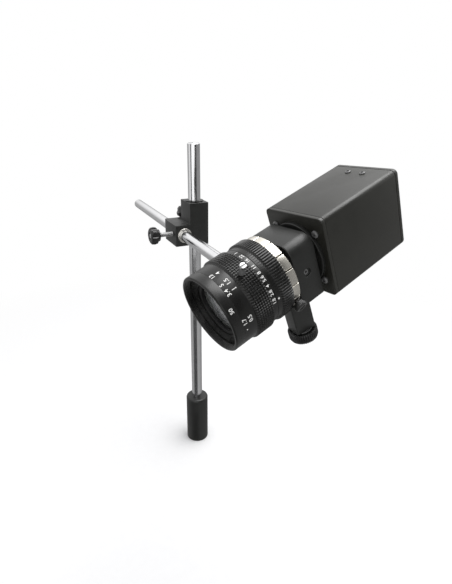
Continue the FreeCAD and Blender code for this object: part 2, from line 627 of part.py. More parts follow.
def make_rear_cover():
    """The rear cover, with a lip inside the shell, connector holes and four corner screws."""
    plate_front = "-body_long + cover_thick - cover_groove"
    plate = bar("CoverPlate", "body_x", "body_y", "body_round", "cover_thick - cover_groove",
                spot(0, 0, "-body_long"))
    lip_x, lip_y = ("body_%s - 2 * body_wall - 4 * running_fit" % side for side in "xy")
    lip = bar("CoverLip", lip_x, lip_y, "body_round - 1", "cover_lip", spot(0, 0, plate_front + " - 0.01"))
    hollow = bar("CoverHollow", lip_x + " - 2 * cover_lip_wall", lip_y + " - 2 * cover_lip_wall",
                 "body_round / 3", "2 * cover_lip", spot(0, 0, plate_front))
    back = "-body_long - 1"
    holes, screws = [], []
    for index, (x, y) in enumerate(four_corners("cover_screw_x", "cover_screw_y")):
        holes.append(cylinder("CoverHole%d" % index, "cover_screw_r + running_fit", "cover_hole",
                              spot(x, y, back)))
        screws.append(screw("CoverScrew%d" % index, "cover_screw", spot(x, y, "-body_long - 0.01", "-Z")))
    for name, radius, x, y in (
        ("VideoHole", "video_r", "video_x", "socket_y"),
        ("PowerHole", "power_r", "power_x", "socket_y"),
        ("LampHole", "lamp_r", "lamp_x", "lamp_y"),
    ):
        holes.append(cylinder(name, radius + " + running_fit", "cover_lip", spot(x, y, back)))
    for index, x in enumerate(TOP_SCREW_SIDES):
        holes.append(cylinder("CoverTopHole%d" % index, "top_screw_r + running_fit", "cover_hole",
                              spot(x, "body_y / 2 - cover_hole", "-top_screw_back", "+Y")))
    cover = join("CoverSolid", plate, cut("CoverRim", lip, hollow))
    keep(cut("Cover", cover, *holes), "rear_cover", HEAD)
    keep(group("CoverScrews", screws), "rear_cover_screws", HEAD)
    top_screws = [
        screw("TopScrew%d" % index, "top_screw", spot(x, "body_y / 2 + 0.01", "-top_screw_back", "+Y"))
        for index, x in enumerate(TOP_SCREW_SIDES)
    ]
    keep(group("TopScrews", top_screws), "top_screws", HEAD)


def make_video_socket():
    """A round bayonet socket with two lugs and a brass centre pin, in the rear cover."""
    place = spot("video_x", "socket_y", "-body_long", "-Z")
    inner_r = "video_shell_r - video_shell_wall"
    shell = turned(
        "VideoSocket", ("video_core_r", "-video_inside"), ("video_r", "-video_inside"),
        ("video_r", "close_fit"), ("video_flange_r", "close_fit"), ("video_flange_r", "video_flange"),
        ("video_shell_r", "video_flange"), ("video_shell_r", "video_long"), (inner_r, "video_long"),
        (inner_r, "video_floor"), ("video_core_r", "video_floor"),
        place=place,
    )
    lugs = box("VideoLugs", "video_lug_span", "video_lug", "video_lug",
               place * spot(0, 0, "video_lug_height"))
    lug_bore = cylinder("VideoLugBore", inner_r + " + 0.4", "2 * video_lug_height",
                        place * spot(0, 0, "video_floor"))
    keep(join("VideoSocketBody", shell, cut("VideoLugPair", lugs, lug_bore)), "video_socket", HEAD)
    core_r = "video_core_r - running_fit"
    core_top = "video_long / 2"
    pin = turned(
        "VideoPin", (0, "2 - video_inside"), (core_r, "2 - video_inside"), (core_r, core_top),
        ("video_pin_r", core_top), ("video_pin_r", "video_long - 2"), (0, "video_long - 2"),
        place=place,
    )
    keep(pin, "video_socket_pin", HEAD)


def make_power_socket():
    """A round low-voltage socket with its centre pin in one moulding, in the rear cover."""
    socket = turned(
        "PowerSocket", (0, "-power_inside"), ("power_r", "-power_inside"), ("power_r", "close_fit"),
        ("power_flange_r", "close_fit"), ("power_flange_r", "power_flange"),
        ("power_bore_r", "power_flange"), ("power_bore_r", "-power_bore_deep"),
        ("power_pin_r", "-power_bore_deep"), ("power_pin_r", "power_pin"), (0, "power_pin"),
        place=spot("power_x", "socket_y", "-body_long", "-Z"),
    )
    keep(socket, "power_socket", HEAD)


def make_pilot_lamp():
    lamp = turned(
        "PilotLamp", (0, "-lamp_inside"), ("lamp_r", "-lamp_inside"), ("lamp_r", "lamp_dome * 0.2"),
        ("lamp_r * 0.75", "lamp_dome * 0.8"), (0, "lamp_dome"),
        place=spot("lamp_x", "lamp_y", "-body_long", "-Z"),
    )
    keep(lamp, "pilot_lamp", HEAD)


def make_electronics():
    """Sensor, its cover glass, its board and the board's four pillars behind the front plate."""
    board_back = "-plate_thick - board_back"
    board_front = board_back + " + board_thick + close_fit"
    corners = four_corners("pillar_x", "pillar_y")
    board = bar("Board", "board_size", "board_size", "board_round", "board_thick", spot(0, 0, board_back))
    holes, pillars = [], []
    for index, (x, y) in enumerate(corners):
        holes.append(cylinder("BoardHole%d" % index, "board_hole_r", "4 * board_thick",
                              spot(x, y, board_back + " - board_thick")))
        pin_r = "board_hole_r - running_fit"
        top = "board_back - board_thick - 2 * close_fit"
        pillars.append(turned(
            "Pillar%d" % index, (0, "-pillar_pin"), (pin_r, "-pillar_pin"), (pin_r, 0), ("pillar_r", 0),
            ("pillar_r", top), (0, top),
            place=spot(x, y, board_front),
        ))
    keep(cut("SensorBoard", board, *holes), "sensor_board", HEAD)
    keep(group("Pillars", pillars), "board_pillars", HEAD)
    chip = box("Chip", "chip_x", "chip_y", "chip_thick", spot(0, 0, board_front))
    window_x, window_y = "chip_x - 2 * chip_rim", "chip_y - 2 * chip_rim"
    floor = board_front + " + chip_thick - window_depth"
    window = box("ChipWindow", window_x, window_y, "chip_thick", spot(0, 0, floor))
    keep(cut("SensorChip", chip, window), "sensor_chip", HEAD)
    glass = box("SensorGlass", window_x + " - 2 * running_fit", window_y + " - 2 * running_fit",
                "window_thick", spot(0, 0, floor + " + running_fit"))
    keep(glass, "sensor_glass", HEAD)
    main = bar("MainBoardSolid", "main_board_size", "main_board_size", "board_round", "board_thick",
               spot(0, 0, "-main_board_back"))
    keep(main, "main_board", HEAD)


# ---------------------------------------------------------------- lens
def make_lens_mount():
    """The dark shim ring, the bright mount ring with its threaded tail, and the fixed barrel."""
    shim_r = "mount_thread_r + thread_fit"
    shim_back, shim_front = "adapter_front + close_fit", "mount_back - close_fit"
    shim = turned(
        "FocusShim", (shim_r, shim_back), ("focus_shim_r", shim_back), ("focus_shim_r", shim_front),
        (shim_r, shim_front),
    )
    keep(shim, "back_focus_ring", HEAD)
    tail = "adapter_front - mount_tail"
    bore_r = "mount_thread_r - mount_wall"
    ring = turned(
        "MountRingSolid", (bore_r, tail), ("mount_thread_r", tail), ("mount_thread_r", "mount_back"),
        ("mount_r - small_edge", "mount_back"), ("mount_r", "mount_back + small_edge"),
        ("mount_r", "mount_front - small_edge"), ("mount_r - small_edge", "mount_front"),
        (bore_r, "mount_front"),
    )
    hole_place = radial("thumb_phi", "mount_r - thumb_shank - 1", "thumb_along")
    hole = cylinder("MountRingHole", "thumb_shank_r + running_fit", "2 * thumb_shank", hole_place)
    keep(cut("MountRing", ring, hole), "lens_mount_ring", HEAD)
    barrel_back = "mount_front + close_fit"
    barrel = turned(
        "Barrel", (bore_r, barrel_back), ("barrel_r", barrel_back), ("barrel_r", "barrel_front"),
        ("barrel_bore_r", "barrel_front"), ("barrel_bore_r", "mount_front + mount_wall"),
        (bore_r, "mount_front + mount_wall"),
    )
    keep(barrel, "fixed_barrel", HEAD)


def make_grip_ring():
    """The ribbed ring on the fixed barrel, with the smooth index band in front of it."""
    bore_r = "barrel_r + close_fit"
    back = "mount_front + close_fit"
    grip = turned(
        "GripRing", (bore_r, back), ("grip_r - small_edge", back), ("grip_r", back + " + small_edge"),
        ("grip_r", "grip_front - 1.2"), ("aperture_r", "grip_front"),
        ("aperture_r", "band_front - small_edge"), ("aperture_r - small_edge", "band_front"),
        (bore_r, "band_front"),
    )
    keep(grip, "mount_grip_ring", HEAD)


def make_mount_screw():
    """A black thumb screw in the side of the mount ring, on the underside."""
    head_top = "thumb_gap + thumb_length"
    head = turned(
        "MountScrew", (0, "-thumb_shank"), ("thumb_shank_r", "-thumb_shank"),
        ("thumb_shank_r", "thumb_gap"), ("thumb_r - small_edge", "thumb_gap"),
        ("thumb_r", "thumb_gap + small_edge"), ("thumb_r", head_top + " - 1"),
        ("thumb_r - 1", head_top), (0, head_top),
        place=radial("thumb_phi", "mount_r", "thumb_along"),
    )
    keep(head, "mount_thumb_screw", HEAD)


def make_aperture_ring():
    bore_r, edge_r = "barrel_r + running_fit", "aperture_r - small_edge"
    ring = turned(
        "ApertureRing", (bore_r, "aperture_back"), (edge_r, "aperture_back"),
        ("aperture_r", "aperture_back + small_edge"), ("aperture_r", "aperture_front - small_edge"),
        (edge_r, "aperture_front"), (bore_r, "aperture_front"),
    )
    keep(ring, "aperture_ring", HEAD)


def make_focus_ring():
    """The cross-knurled grip and the distance scale barrel in one turned ring."""
    front_r, back_r = "barrel_bore_r + close_fit", "barrel_r + 2 * running_fit"
    step = "barrel_front + 1.5"
    solid = turned(
        "FocusRingSolid", (back_r, "knurl_back"), ("knurl_r - small_edge", "knurl_back"),
        ("knurl_r", "knurl_back + small_edge"), ("knurl_r", "knurl_front - 0.9"),
        ("scale_r + 0.6", "knurl_front"), ("scale_r", "knurl_front + 0.6"),
        ("scale_r", "scale_front - 0.1"), ("scale_r - 0.1", "scale_front"), (front_r, "scale_front"),
        (front_r, step), (back_r, step),
    )
    hole_place = radial("focus_screw_phi", "knurl_r - focus_screw_sink - 0.3", "focus_screw_along")
    hole = cylinder("FocusScrewHole", "focus_screw_r + running_fit", "2 * focus_screw_sink", hole_place)
    keep(cut("FocusRing", solid, hole), "focus_ring", HEAD)


def make_focus_screw():
    """A bright slotted lock screw that stands on a dark collar on the focus ring's grip."""
    place = radial("focus_screw_phi", "knurl_r", "focus_screw_along")
    bore_r = "focus_screw_r + running_fit"
    collar = turned(
        "FocusCollar", (bore_r, "running_fit"), ("collar_r", "running_fit"),
        ("collar_r", "collar_high - small_edge"), ("collar_r - small_edge", "collar_high"),
        (bore_r, "collar_high"),
        place=place,
    )
    keep(collar, "focus_screw_collar", HEAD)
    head_low = "collar_high + running_fit"
    head_top = head_low + " + focus_head_high"
    shank = turned(
        "FocusScrewSolid", (0, "-focus_screw_sink"), ("focus_screw_r", "-focus_screw_sink"),
        ("focus_screw_r", head_low), ("focus_head_r - 0.2", head_low),
        ("focus_head_r", head_low + " + 0.25"), ("focus_head_r", head_top + " - small_edge"),
        ("focus_head_r - small_edge", head_top), (0, head_top),
    )
    slot = box("FocusScrewSlot", "3 * focus_head_r", "slot_wide", "focus_head_high",
               spot(0, 0, head_top + " - slot_wide"))
    item = cut("FocusScrew", shank, slot)
    item.Placement = place
    keep(item, "focus_lock_screw", HEAD)


# ---------------------------------------------------------------- optics
GLASS_EDGE = "rim_back - front_glass_sink"


def make_cell():
    """The sliding lens cell that carries the glasses and the iris, and the front rim on it."""
    outer_r = "barrel_bore_r - running_fit"
    step = "cell_back + cell_step"
    cell = turned(
        "Cell", ("cell_rear_bore_r", "cell_back"), (outer_r, "cell_back"), (outer_r, "rim_back"),
        ("cell_bore_r", "rim_back"), ("cell_bore_r", step), ("cell_rear_bore_r", step),
    )
    keep(cell, "lens_cell", HEAD)
    back = "rim_back + close_fit"
    inner_r = "cell_bore_r + 0.3"
    floor = "rim_back + rim_floor"
    rim = turned(
        "FrontRim", (inner_r, back), ("rim_r - 0.1", back), ("rim_r", back + " + 0.1"),
        ("rim_r", "rim_front - 0.8"), ("rim_r - 0.8", "rim_front"),
        ("filter_thread_r", "rim_front"), ("filter_thread_r", floor), ("filter_thread_r - 3.5", floor),
        (inner_r, "rim_back + rim_floor / 2"),
    )
    keep(rim, "front_rim", HEAD)


def make_glasses():
    """The front glass with its retaining ring, and the rear glass."""
    front_r, rear_r = "cell_bore_r - 2 * running_fit", "cell_rear_bore_r - 2 * running_fit"
    front = turned(
        "FrontGlass", (0, GLASS_EDGE + " - 6"), (front_r, GLASS_EDGE + " - 5"),
        (front_r, GLASS_EDGE + " - 0.1"), ("cell_bore_r - 2.4", GLASS_EDGE + " + 0.5"),
        ("cell_bore_r * 0.5", GLASS_EDGE + " + 1.6"), (0, GLASS_EDGE + " + 2"),
    )
    keep(front, "front_glass", HEAD)
    ring_r, ring_inner_r = "cell_bore_r - running_fit", "cell_bore_r - 2.2"
    ring = turned(
        "GlassRing", (ring_inner_r, GLASS_EDGE + " + 0.9"), (ring_inner_r, "rim_back - 0.1"),
        (ring_r, "rim_back - 0.1"), (ring_r, GLASS_EDGE + " + 0.2"),
        ("cell_bore_r - 1.2", GLASS_EDGE + " + 0.55"),
    )
    keep(ring, "glass_retaining_ring", HEAD)
    rear = turned(
        "RearGlass", (0, "cell_back + 1"), (rear_r, "cell_back + 2.5"), (rear_r, "cell_back + 6"),
        (0, "cell_back + 8"),
    )
    keep(rear, "rear_glass", HEAD)


def make_iris_plate():
    low, top = "blade_first - 1.1", "blade_first - 0.3"
    edge_r = "cell_bore_r - running_fit"
    plate = turned("IrisPlate", ("blade_inner_r", low), (edge_r, low), (edge_r, top), ("blade_inner_r", top))
    keep(plate, "iris_plate", HEAD)


def make_iris():
    """Curved blades, each on its own level, that lie round the opening when it is wide open."""
    inner, outer = number("blade_inner_r"), number("blade_outer_r")
    middle, half_wide = (inner + outer) / 2, (outer - inner) / 2
    sweep = math.radians(number("blade_sweep"))
    blades = int(number("blade_count"))
    for index in range(blades):
        level = number("blade_first + blade_pitch * %d" % index)
        first = 2 * math.pi * index / blades
        last = first + sweep

        def on_circle(radius, angle):
            return Vector(radius * math.cos(angle), radius * math.sin(angle), level)

        def round_end(angle, outwards):
            along = Vector(-math.sin(angle), math.cos(angle), 0) * (half_wide * outwards)
            return on_circle(middle, angle) + along

        half = (first + last) / 2
        outline = Part.Wire([
            Part.Arc(on_circle(inner, first), on_circle(inner, half), on_circle(inner, last)).toShape(),
            Part.Arc(on_circle(inner, last), round_end(last, 1), on_circle(outer, last)).toShape(),
            Part.Arc(on_circle(outer, last), on_circle(outer, half), on_circle(outer, first)).toShape(),
            Part.Arc(on_circle(outer, first), round_end(first, -1), on_circle(inner, first)).toShape(),
        ])
        blade = doc.addObject("Part::Feature", "IrisBlade%d" % (index + 1))
        blade.Shape = Part.Face(outline).extrude(Vector(0, 0, number("blade_thick")))
        keep(blade, "iris_blade_%d" % (index + 1), HEAD)


# ---------------------------------------------------------------- build, test and write
make_foot()
make_foot_screws()
make_post()
make_post_bush()
make_clamp()
make_rod_bush()
make_lock("PostLock", "post_lock", spot("-post_bush_r", 0, "post_lock_z", "-X"),
          "block_x / 2 - post_bush_r + post_lock_gap")
make_lock("RodLock", "rod_lock", spot("rod_lock_x", "rod_y - rod_bush_r", "rod_z", "-Y"),
          "rod_y - rod_bush_r - boss_y_front + lock_knob_gap")
make_cross_rod()
make_arm_block()
make_camera_screw()
make_adapter()
make_neck()
make_shell()
make_front_plate()
make_rear_cover()
make_video_socket()
make_power_socket()
make_pilot_lamp()
make_electronics()
make_lens_mount()
make_grip_ring()
make_mount_screw()
make_aperture_ring()
make_focus_ring()
make_focus_screw()
make_cell()
make_glasses()
make_iris_plate()
make_iris()
doc.recompute()

failed = [item.Name for item in doc.Objects if "Invalid" in item.State or "Error" in item.State]
broken = [item.Label for item in parts if item.Shape.isNull() or not item.Shape.isValid()]
if failed or broken:
    raise SystemExit("failed objects: %s; broken shapes: %s" % (failed, broken))
os.makedirs("parts", exist_ok=True)
for item in parts:
    item.Shape.exportStep("parts/%s.step" % item.Label)
print(len(parts), "sub-parts written")
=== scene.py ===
"""The looks of a box camera head on an adjustable arm and post.

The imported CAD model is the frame: every place and main size is measured on it. Names ending in
_MM or _mm are the small details that the CAD solids leave plain, such as the depth of a rib, and
the room left for a cutter or a screw. Shapes are worked out in millimetres in a piece's own local
frame, and meshes are made in metres.

Local frames: ROW is the whole model's. HEAD has z forward along the lens from the camera's front
plate, y up and x to the side. BACK is HEAD turned round, with z out of the camera's back. ARM has
z up the camera screw. ROD has z along the cross rod. A screw's frame has z along it, outwards.
"""
import json
import math

import bmesh
import bpy
from mathutils import Matrix, Vector


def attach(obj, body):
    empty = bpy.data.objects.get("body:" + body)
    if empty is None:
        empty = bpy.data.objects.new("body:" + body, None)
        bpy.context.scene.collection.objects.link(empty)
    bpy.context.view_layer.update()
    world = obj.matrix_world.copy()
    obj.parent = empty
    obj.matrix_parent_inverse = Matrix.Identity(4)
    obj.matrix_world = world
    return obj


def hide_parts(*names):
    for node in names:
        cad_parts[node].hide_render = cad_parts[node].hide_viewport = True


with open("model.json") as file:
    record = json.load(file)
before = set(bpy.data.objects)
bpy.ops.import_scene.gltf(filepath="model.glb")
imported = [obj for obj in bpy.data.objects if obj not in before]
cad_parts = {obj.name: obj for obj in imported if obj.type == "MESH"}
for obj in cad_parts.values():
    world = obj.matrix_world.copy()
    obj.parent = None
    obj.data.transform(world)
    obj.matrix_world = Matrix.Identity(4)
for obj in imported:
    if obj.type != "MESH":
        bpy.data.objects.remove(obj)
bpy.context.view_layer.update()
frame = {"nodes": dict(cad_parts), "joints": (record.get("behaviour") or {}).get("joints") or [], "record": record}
MM = 0.001
TURN = 2 * math.pi
FAR_MM = 1000.0
NEAR_MM = 0.05
MERGE_M = 1e-7
JOINTS = {joint["name"]: joint for joint in frame["joints"]}
BODIES = frame["record"]["behaviour"]["bodies"]
SLOT_OF = {row["node"]: row["material_slot"] for row in frame["record"]["subparts"]}
BODY_OF = {node: body for body, nodes in BODIES.items() for node in nodes}


# ---------------------------------------------------------------- places, all from the frame
def joint_axis(name):
    return Vector(JOINTS[name]["axis"]).normalized()


def joint_point(name):
    return Vector(JOINTS[name]["pos_m"])


def local_frame(origin, x_axis, z_axis):
    """A right-handed frame with its z along z_axis and its x as near x_axis as it can be."""
    z = z_axis.normalized()
    y = z.cross(x_axis).normalized()
    x = y.cross(z)
    return Matrix.Translation(origin) @ Matrix((x, y, z)).transposed().to_4x4()


def screw_frame(joint, x_axis=Vector((0, 0, 1))):
    return local_frame(joint_point(joint), x_axis, joint_axis(joint))


def at(place, x, y, z, axis=None):
    """A frame at a local point in millimetres, its z kept or turned to a local direction."""
    moved = place @ Matrix.Translation((x * MM, y * MM, z * MM))
    if axis is None:
        return moved
    return moved @ Vector((0, 0, 1)).rotation_difference(Vector(axis)).to_matrix().to_4x4()


def in_frame(points, place):
    """Points in a local frame, in millimetres."""
    inverse = place.inverted()
    return [(inverse @ point) / MM for point in points]


def local_points(node, place):
    return in_frame([vertex.co for vertex in frame["nodes"][node].data.vertices], place)


def corners_of(points):
    low = Vector([min(point[axis] for point in points) for axis in range(3)])
    high = Vector([max(point[axis] for point in points) for axis in range(3)])
    return low, high


def extent(node, place):
    """Lowest and highest local corners of a CAD node."""
    return corners_of(local_points(node, place))


def levels(node, place, outside=-1.0, inside=FAR_MM):
    """Lowest and highest z of a CAD node, or of its points between two radii."""
    found = [point.z for point in local_points(node, place) if outside < point.xy.length < inside]
    return min(found), max(found)


def levels_at(node, place, radius):
    """Lowest and highest z of a CAD node's points at one radius."""
    return levels(node, place, radius - NEAR_MM, radius + NEAR_MM)


def radii(node, place, above=-FAR_MM, below=FAR_MM):
    """Smallest and largest radius of a CAD node, or of its points between two levels."""
    found = [point.xy.length for point in local_points(node, place) if above < point.z < below]
    return min(found), max(found)


def ring_sizes(node, place):
    """Lowest and highest z and smallest and largest radius of a turned CAD node."""
    return (*levels(node, place), *radii(node, place))


def centred(place, points):
    """A frame moved sideways on to the middle of some of its points."""
    low, high = corners_of(points)
    middle = (low + high) / 2
    return at(place, middle.x, middle.y, 0)


def solids(node, place):
    """Each separate solid of a CAD node, as a frame on its middle and its points in that frame."""
    bm = bmesh.new()
    bm.from_mesh(frame["nodes"][node].data)
    merge_doubles(bm)
    found = []
    for first in bm.verts:
        if first.tag:
            continue
        first.tag = True
        waiting, group = [first], []
        while waiting:
            vertex = waiting.pop()
            group.append(vertex.co.copy())
            near = [edge.other_vert(vertex) for edge in vertex.link_edges]
            for other in [other for other in near if not other.tag]:
                other.tag = True
                waiting.append(other)
        middle = centred(place, in_frame(group, place))
        found.append((middle, in_frame(group, middle)))
    bm.free()
    return found


def head_frame():
    lens = joint_axis("aperture_turn")
    side = joint_axis("head_pan").cross(lens)
    rough = local_frame(joint_point("aperture_turn"), side, lens)
    return at(rough, 0, 0, levels("front_plate", rough)[1])


ROW = Matrix.Identity(4)
HEAD = head_frame()
BACK = at(HEAD, 0, 0, 0, (0, 0, -1))
ARM = local_frame(joint_point("head_pan"), joint_axis("arm_reach"), joint_axis("head_pan"))
ROD = screw_frame("arm_tilt")


# ---------------------------------------------------------------- mesh building
ARC_STEPS = 5
BEVEL_STEPS = 3
SHARP_DEG = 34
BEVEL_DEG = 50
# cutters run this far past a surface, and screws have this much room in their holes
PAST_MM = 1
FIT_MM = 0.05


def merge_doubles(bm):
    bmesh.ops.remove_doubles(bm, verts=bm.verts, dist=MERGE_M)


def mark_sharp(bm):
    """Smooth faces, with the real corners kept sharp."""
    limit = math.radians(SHARP_DEG)
    for face in bm.faces:
        face.smooth = True
    for edge in bm.edges:
        edge.smooth = len(edge.link_faces) == 2 and edge.calc_face_angle() < limit


def mesh_from(name, bm):
    mesh = bpy.data.meshes.new(name)
    bm.to_mesh(mesh)
    bm.free()
    return mesh


def new_object(name, data):
    made = bpy.data.objects.new(name, data)
    bpy.context.scene.collection.objects.link(made)
    return made


def piece_from(name, bm, place):
    merge_doubles(bm)
    bmesh.ops.dissolve_degenerate(bm, dist=MERGE_M / 10, edges=bm.edges)
    bmesh.ops.recalc_face_normals(bm, faces=bm.faces)
    mark_sharp(bm)
    piece = new_object(name, mesh_from(name, bm))
    piece.matrix_world = place
    return piece


def rework(mesh, change):
    """Put a mesh through a change, then mark its real corners again."""
    bm = bmesh.new()
    bm.from_mesh(mesh)
    change(bm)
    mark_sharp(bm)
    bm.to_mesh(mesh)
    bm.free()


def rounded(outline, closed):
    """The outline with an arc at each corner that has a third value, its radius."""
    result = []
    count = len(outline)
    for index, corner in enumerate(outline):
        here = Vector(corner[:2])
        radius = corner[2] if len(corner) > 2 else 0
        if not radius or not (closed or 0 < index < count - 1):
            result.append(here)
            continue
        before = Vector(outline[index - 1][:2]) - here
        after = Vector(outline[(index + 1) % count][:2]) - here
        half = before.angle(after) / 2
        back = min(radius / math.tan(half), before.length * 0.48, after.length * 0.48)
        radius = back * math.tan(half)
        centre = here + (before.normalized() + after.normalized()).normalized() * radius / math.sin(half)
        start = here + before.normalized() * back - centre
        side = -1 if before.cross(after) > 0 else 1
        for step in range(ARC_STEPS + 1):
            angle = side * (math.pi - 2 * half) * step / ARC_STEPS
            result.append(centre + Matrix.Rotation(angle, 2) @ start)
    return result


def split_long(points, longest):
    """Extra points along the straight stretches, so that no step is longer than this."""
    result = [points[0]]
    for before, after in zip(points, points[1:]):
        steps = max(1, math.ceil((after - before).length / longest))
        result += [before.lerp(after, step / steps) for step in range(1, steps + 1)]
    return result


def lathe(name, outline, place, segments=128, relief=None, longest=FAR_MM):
    """A turned piece from (radius, z, corner radius) points.

    The outline is a closed loop, or runs from the axis back to the axis. relief(angle, radius, z)
    gives the changed radius of a ribbed, fluted or threaded surface.
    """
    on_axis = outline[0][0] == 0
    bm = bmesh.new()
    rings = []
    for radius, along in split_long(rounded(outline, not on_axis), longest):
        if radius == 0:
            rings.append([bm.verts.new((0, 0, along * MM))])
            continue
        ring = []
        for index in range(segments):
            angle = TURN * index / segments
            size = (relief(angle, radius, along) if relief else radius) * MM
            ring.append(bm.verts.new((size * math.cos(angle), size * math.sin(angle), along * MM)))
        rings.append(ring)
    pairs = list(zip(rings, rings[1:]))
    if not on_axis:
        pairs.append((rings[-1], rings[0]))
    for low, high in pairs:
        join_rings(bm, low, high, segments)
    return piece_from(name, bm, place)


def join_rings(bm, low, high, segments):
    for index in range(segments):
        following = (index + 1) % segments
        if len(low) == 1:
            bm.faces.new((low[0], high[index], high[following]))
        elif len(high) == 1:
            bm.faces.new((low[index], low[following], high[0]))
        else:
            bm.faces.new((low[index], low[following], high[following], high[index]))


def turned(node, name, outline, place, segments=128, relief=None, longest=FAR_MM):
    """A turned piece that stands for a CAD node."""
    return stand_for(lathe(name, outline, place, segments, relief, longest), node)


def plain_ring(node, name, place, segments, low_soft, high_soft, bore_soft=0):
    """A plain turned ring in place of a CAD node, its edges rounded."""
    low, high, inner, outer = ring_sizes(node, place)
    turned(node, name, [
        (inner, low, bore_soft), (outer, low, low_soft), (outer, high, high_soft), (inner, high, bore_soft),
    ], place, segments)


def thread_depth(angle, along, pitch):
    """How deep a thread is at a place, from 0 on its crest to 1 in its root."""
    return abs(2 * ((along / pitch - angle / TURN) % 1) - 1)


def threaded_rod(name, radius, pitch, low, high, place, chamfer, segments=40):
    """A rod with a real helical thread and a chamfered point at each end."""
    depth = pitch * 0.5

    def thread(angle, size, along):
        flattened = 1.25 * thread_depth(angle, along, pitch) - 0.1
        return min(size, radius - depth * max(0.0, min(1.0, flattened)))

    return lathe(name, rod_outline(radius, low, high, chamfer, 0), place, segments, thread, pitch / 6)


def rod_outline(radius, low, high, chamfer, soft):
    return [(0, low), (radius - chamfer, low, soft), (radius, low + chamfer, soft),
            (radius, high - chamfer, soft), (radius - chamfer, high, soft), (0, high)]


def rectangle(x, y, corner):
    """Corner points of a rectangle from its half sizes."""
    return [(-x, -y, corner), (x, -y, corner), (x, y, corner), (-x, y, corner)]


def slab(name, outline, low, high, place, edge=0.0):
    """A block from an outline with rounded corners, with rounded end edges too."""
    points = rounded(outline, True)
    bm = bmesh.new()
    base = [bm.verts.new((point.x * MM, point.y * MM, low * MM)) for point in points]
    top = [bm.verts.new((point.x * MM, point.y * MM, high * MM)) for point in points]
    bm.faces.new(base)
    bm.faces.new(top)
    for index in range(len(points)):
        following = (index + 1) % len(points)
        bm.faces.new((base[index], base[following], top[following], top[index]))
    bmesh.ops.recalc_face_normals(bm, faces=bm.faces)
    if edge:
        soften(bm, edge)
    return piece_from(name, bm, place)


def soften(bm, edge):
    """Round every sharp edge."""
    limit = math.radians(BEVEL_DEG)
    rims = [line for line in bm.edges if len(line.link_faces) == 2 and line.calc_face_angle() > limit]
    bmesh.ops.bevel(bm, geom=rims, offset=edge * MM, segments=BEVEL_STEPS, profile=0.5, affect="EDGES",
                    clamp_overlap=True)


def carve(piece, *others, operation="DIFFERENCE"):
    """Cut other shapes out of a piece, or join them to it, and use them up."""
    for other in others:
        step = piece.modifiers.new("carve", "BOOLEAN")
        step.operation = operation
        step.object = other
        step.solver = "EXACT"
    bpy.context.view_layer.update()
    graph = bpy.context.evaluated_depsgraph_get()
    result = bpy.data.meshes.new_from_object(piece.evaluated_get(graph))
    piece.modifiers.clear()
    piece.data = result
    for other in others:
        bpy.data.objects.remove(other)
    rework(result, merge_doubles)
    return piece


def drill(radius, low, high, place, segments=64):
    return lathe("cutter", [(0, low), (radius, low), (radius, high), (0, high)], place, segments)


def through(radius, low, high, place, segments=64):
    return drill(radius, low - PAST_MM, high + PAST_MM, place, segments)


def countersink(radius, deep, surface, place, segments=64):
    """A cutter that takes the sharp corner off a hole's mouth, on a surface facing +z."""
    outline = [(0, surface - radius - deep), (0.01, surface - radius - deep), (radius + deep, surface),
               (radius + deep + PAST_MM, surface + PAST_MM), (0, surface + PAST_MM)]
    return lathe("cutter", outline, place, segments)


def hexagon(across_flats, low, high, place):
    return drill(across_flats / math.sqrt(3), low, high + PAST_MM, place, 6)


def block(size_x, size_y, low, high, place):
    return slab("cutter", rectangle(size_x / 2, size_y / 2, 0), low, high, place)


def joined(name, *pieces):
    """Separate shapes kept as one object, in the first one's frame."""
    place = pieces[0].matrix_world.copy()
    bm = bmesh.new()
    for piece in pieces:
        piece.data.transform(place.inverted() @ piece.matrix_world)
        bm.from_mesh(piece.data)
    for piece in pieces:
        bpy.data.objects.remove(piece)
    return piece_from(name, bm, place)


# ---------------------------------------------------------------- materials
def new_node(tree, kind, values=None, **settings):
    """A shader node with its inputs set or linked."""
    node = tree.nodes.new(kind)
    for key, value in settings.items():
        setattr(node, key, value)
    feed(tree, node, values or {})
    return node


def feed(tree, node, values):
    """Link a socket, or set a value, at each of the named or numbered inputs."""
    for key, value in values.items():
        socket = node.inputs[key]
        if isinstance(value, bpy.types.NodeSocket):
            tree.links.new(value, socket)
        elif socket.type == "RGBA" and len(value) == 3:
            socket.default_value = (*value, 1.0)
        else:
            socket.default_value = value


def maths(tree, operation, *values, clamp=False):
    inputs = dict(enumerate(values))
    return new_node(tree, "ShaderNodeMath", inputs, operation=operation, use_clamp=clamp).outputs[0]


def vector_maths(tree, operation, *values, output="Value"):
    inputs = dict(enumerate(values))
    return new_node(tree, "ShaderNodeVectorMath", inputs, operation=operation).outputs[output]


def position(tree, kind="Object"):
    return new_node(tree, "ShaderNodeTexCoord").outputs[kind]


def noise(tree, per_metre, detail=3.0):
    """Noise in the piece's own metres, with a number of features per metre along x, y and z."""
    scaled = vector_maths(tree, "MULTIPLY", position(tree), per_metre, output="Vector")
    values = {"Vector": scaled, "Scale": 1.0, "Detail": detail, "Roughness": 0.55}
    return new_node(tree, "ShaderNodeTexNoise", values).outputs[0]


def ramp(tree, value, low, high, to_low=0.0, to_high=1.0):
    values = {"Value": value, "From Min": low, "From Max": high, "To Min": to_low, "To Max": to_high}
    return new_node(tree, "ShaderNodeMapRange", values).outputs[0]


def blend_colours(tree, share, first, second):
    inputs = {0: share, 6: first, 7: second}
    return new_node(tree, "ShaderNodeMix", inputs, data_type="RGBA").outputs[2]


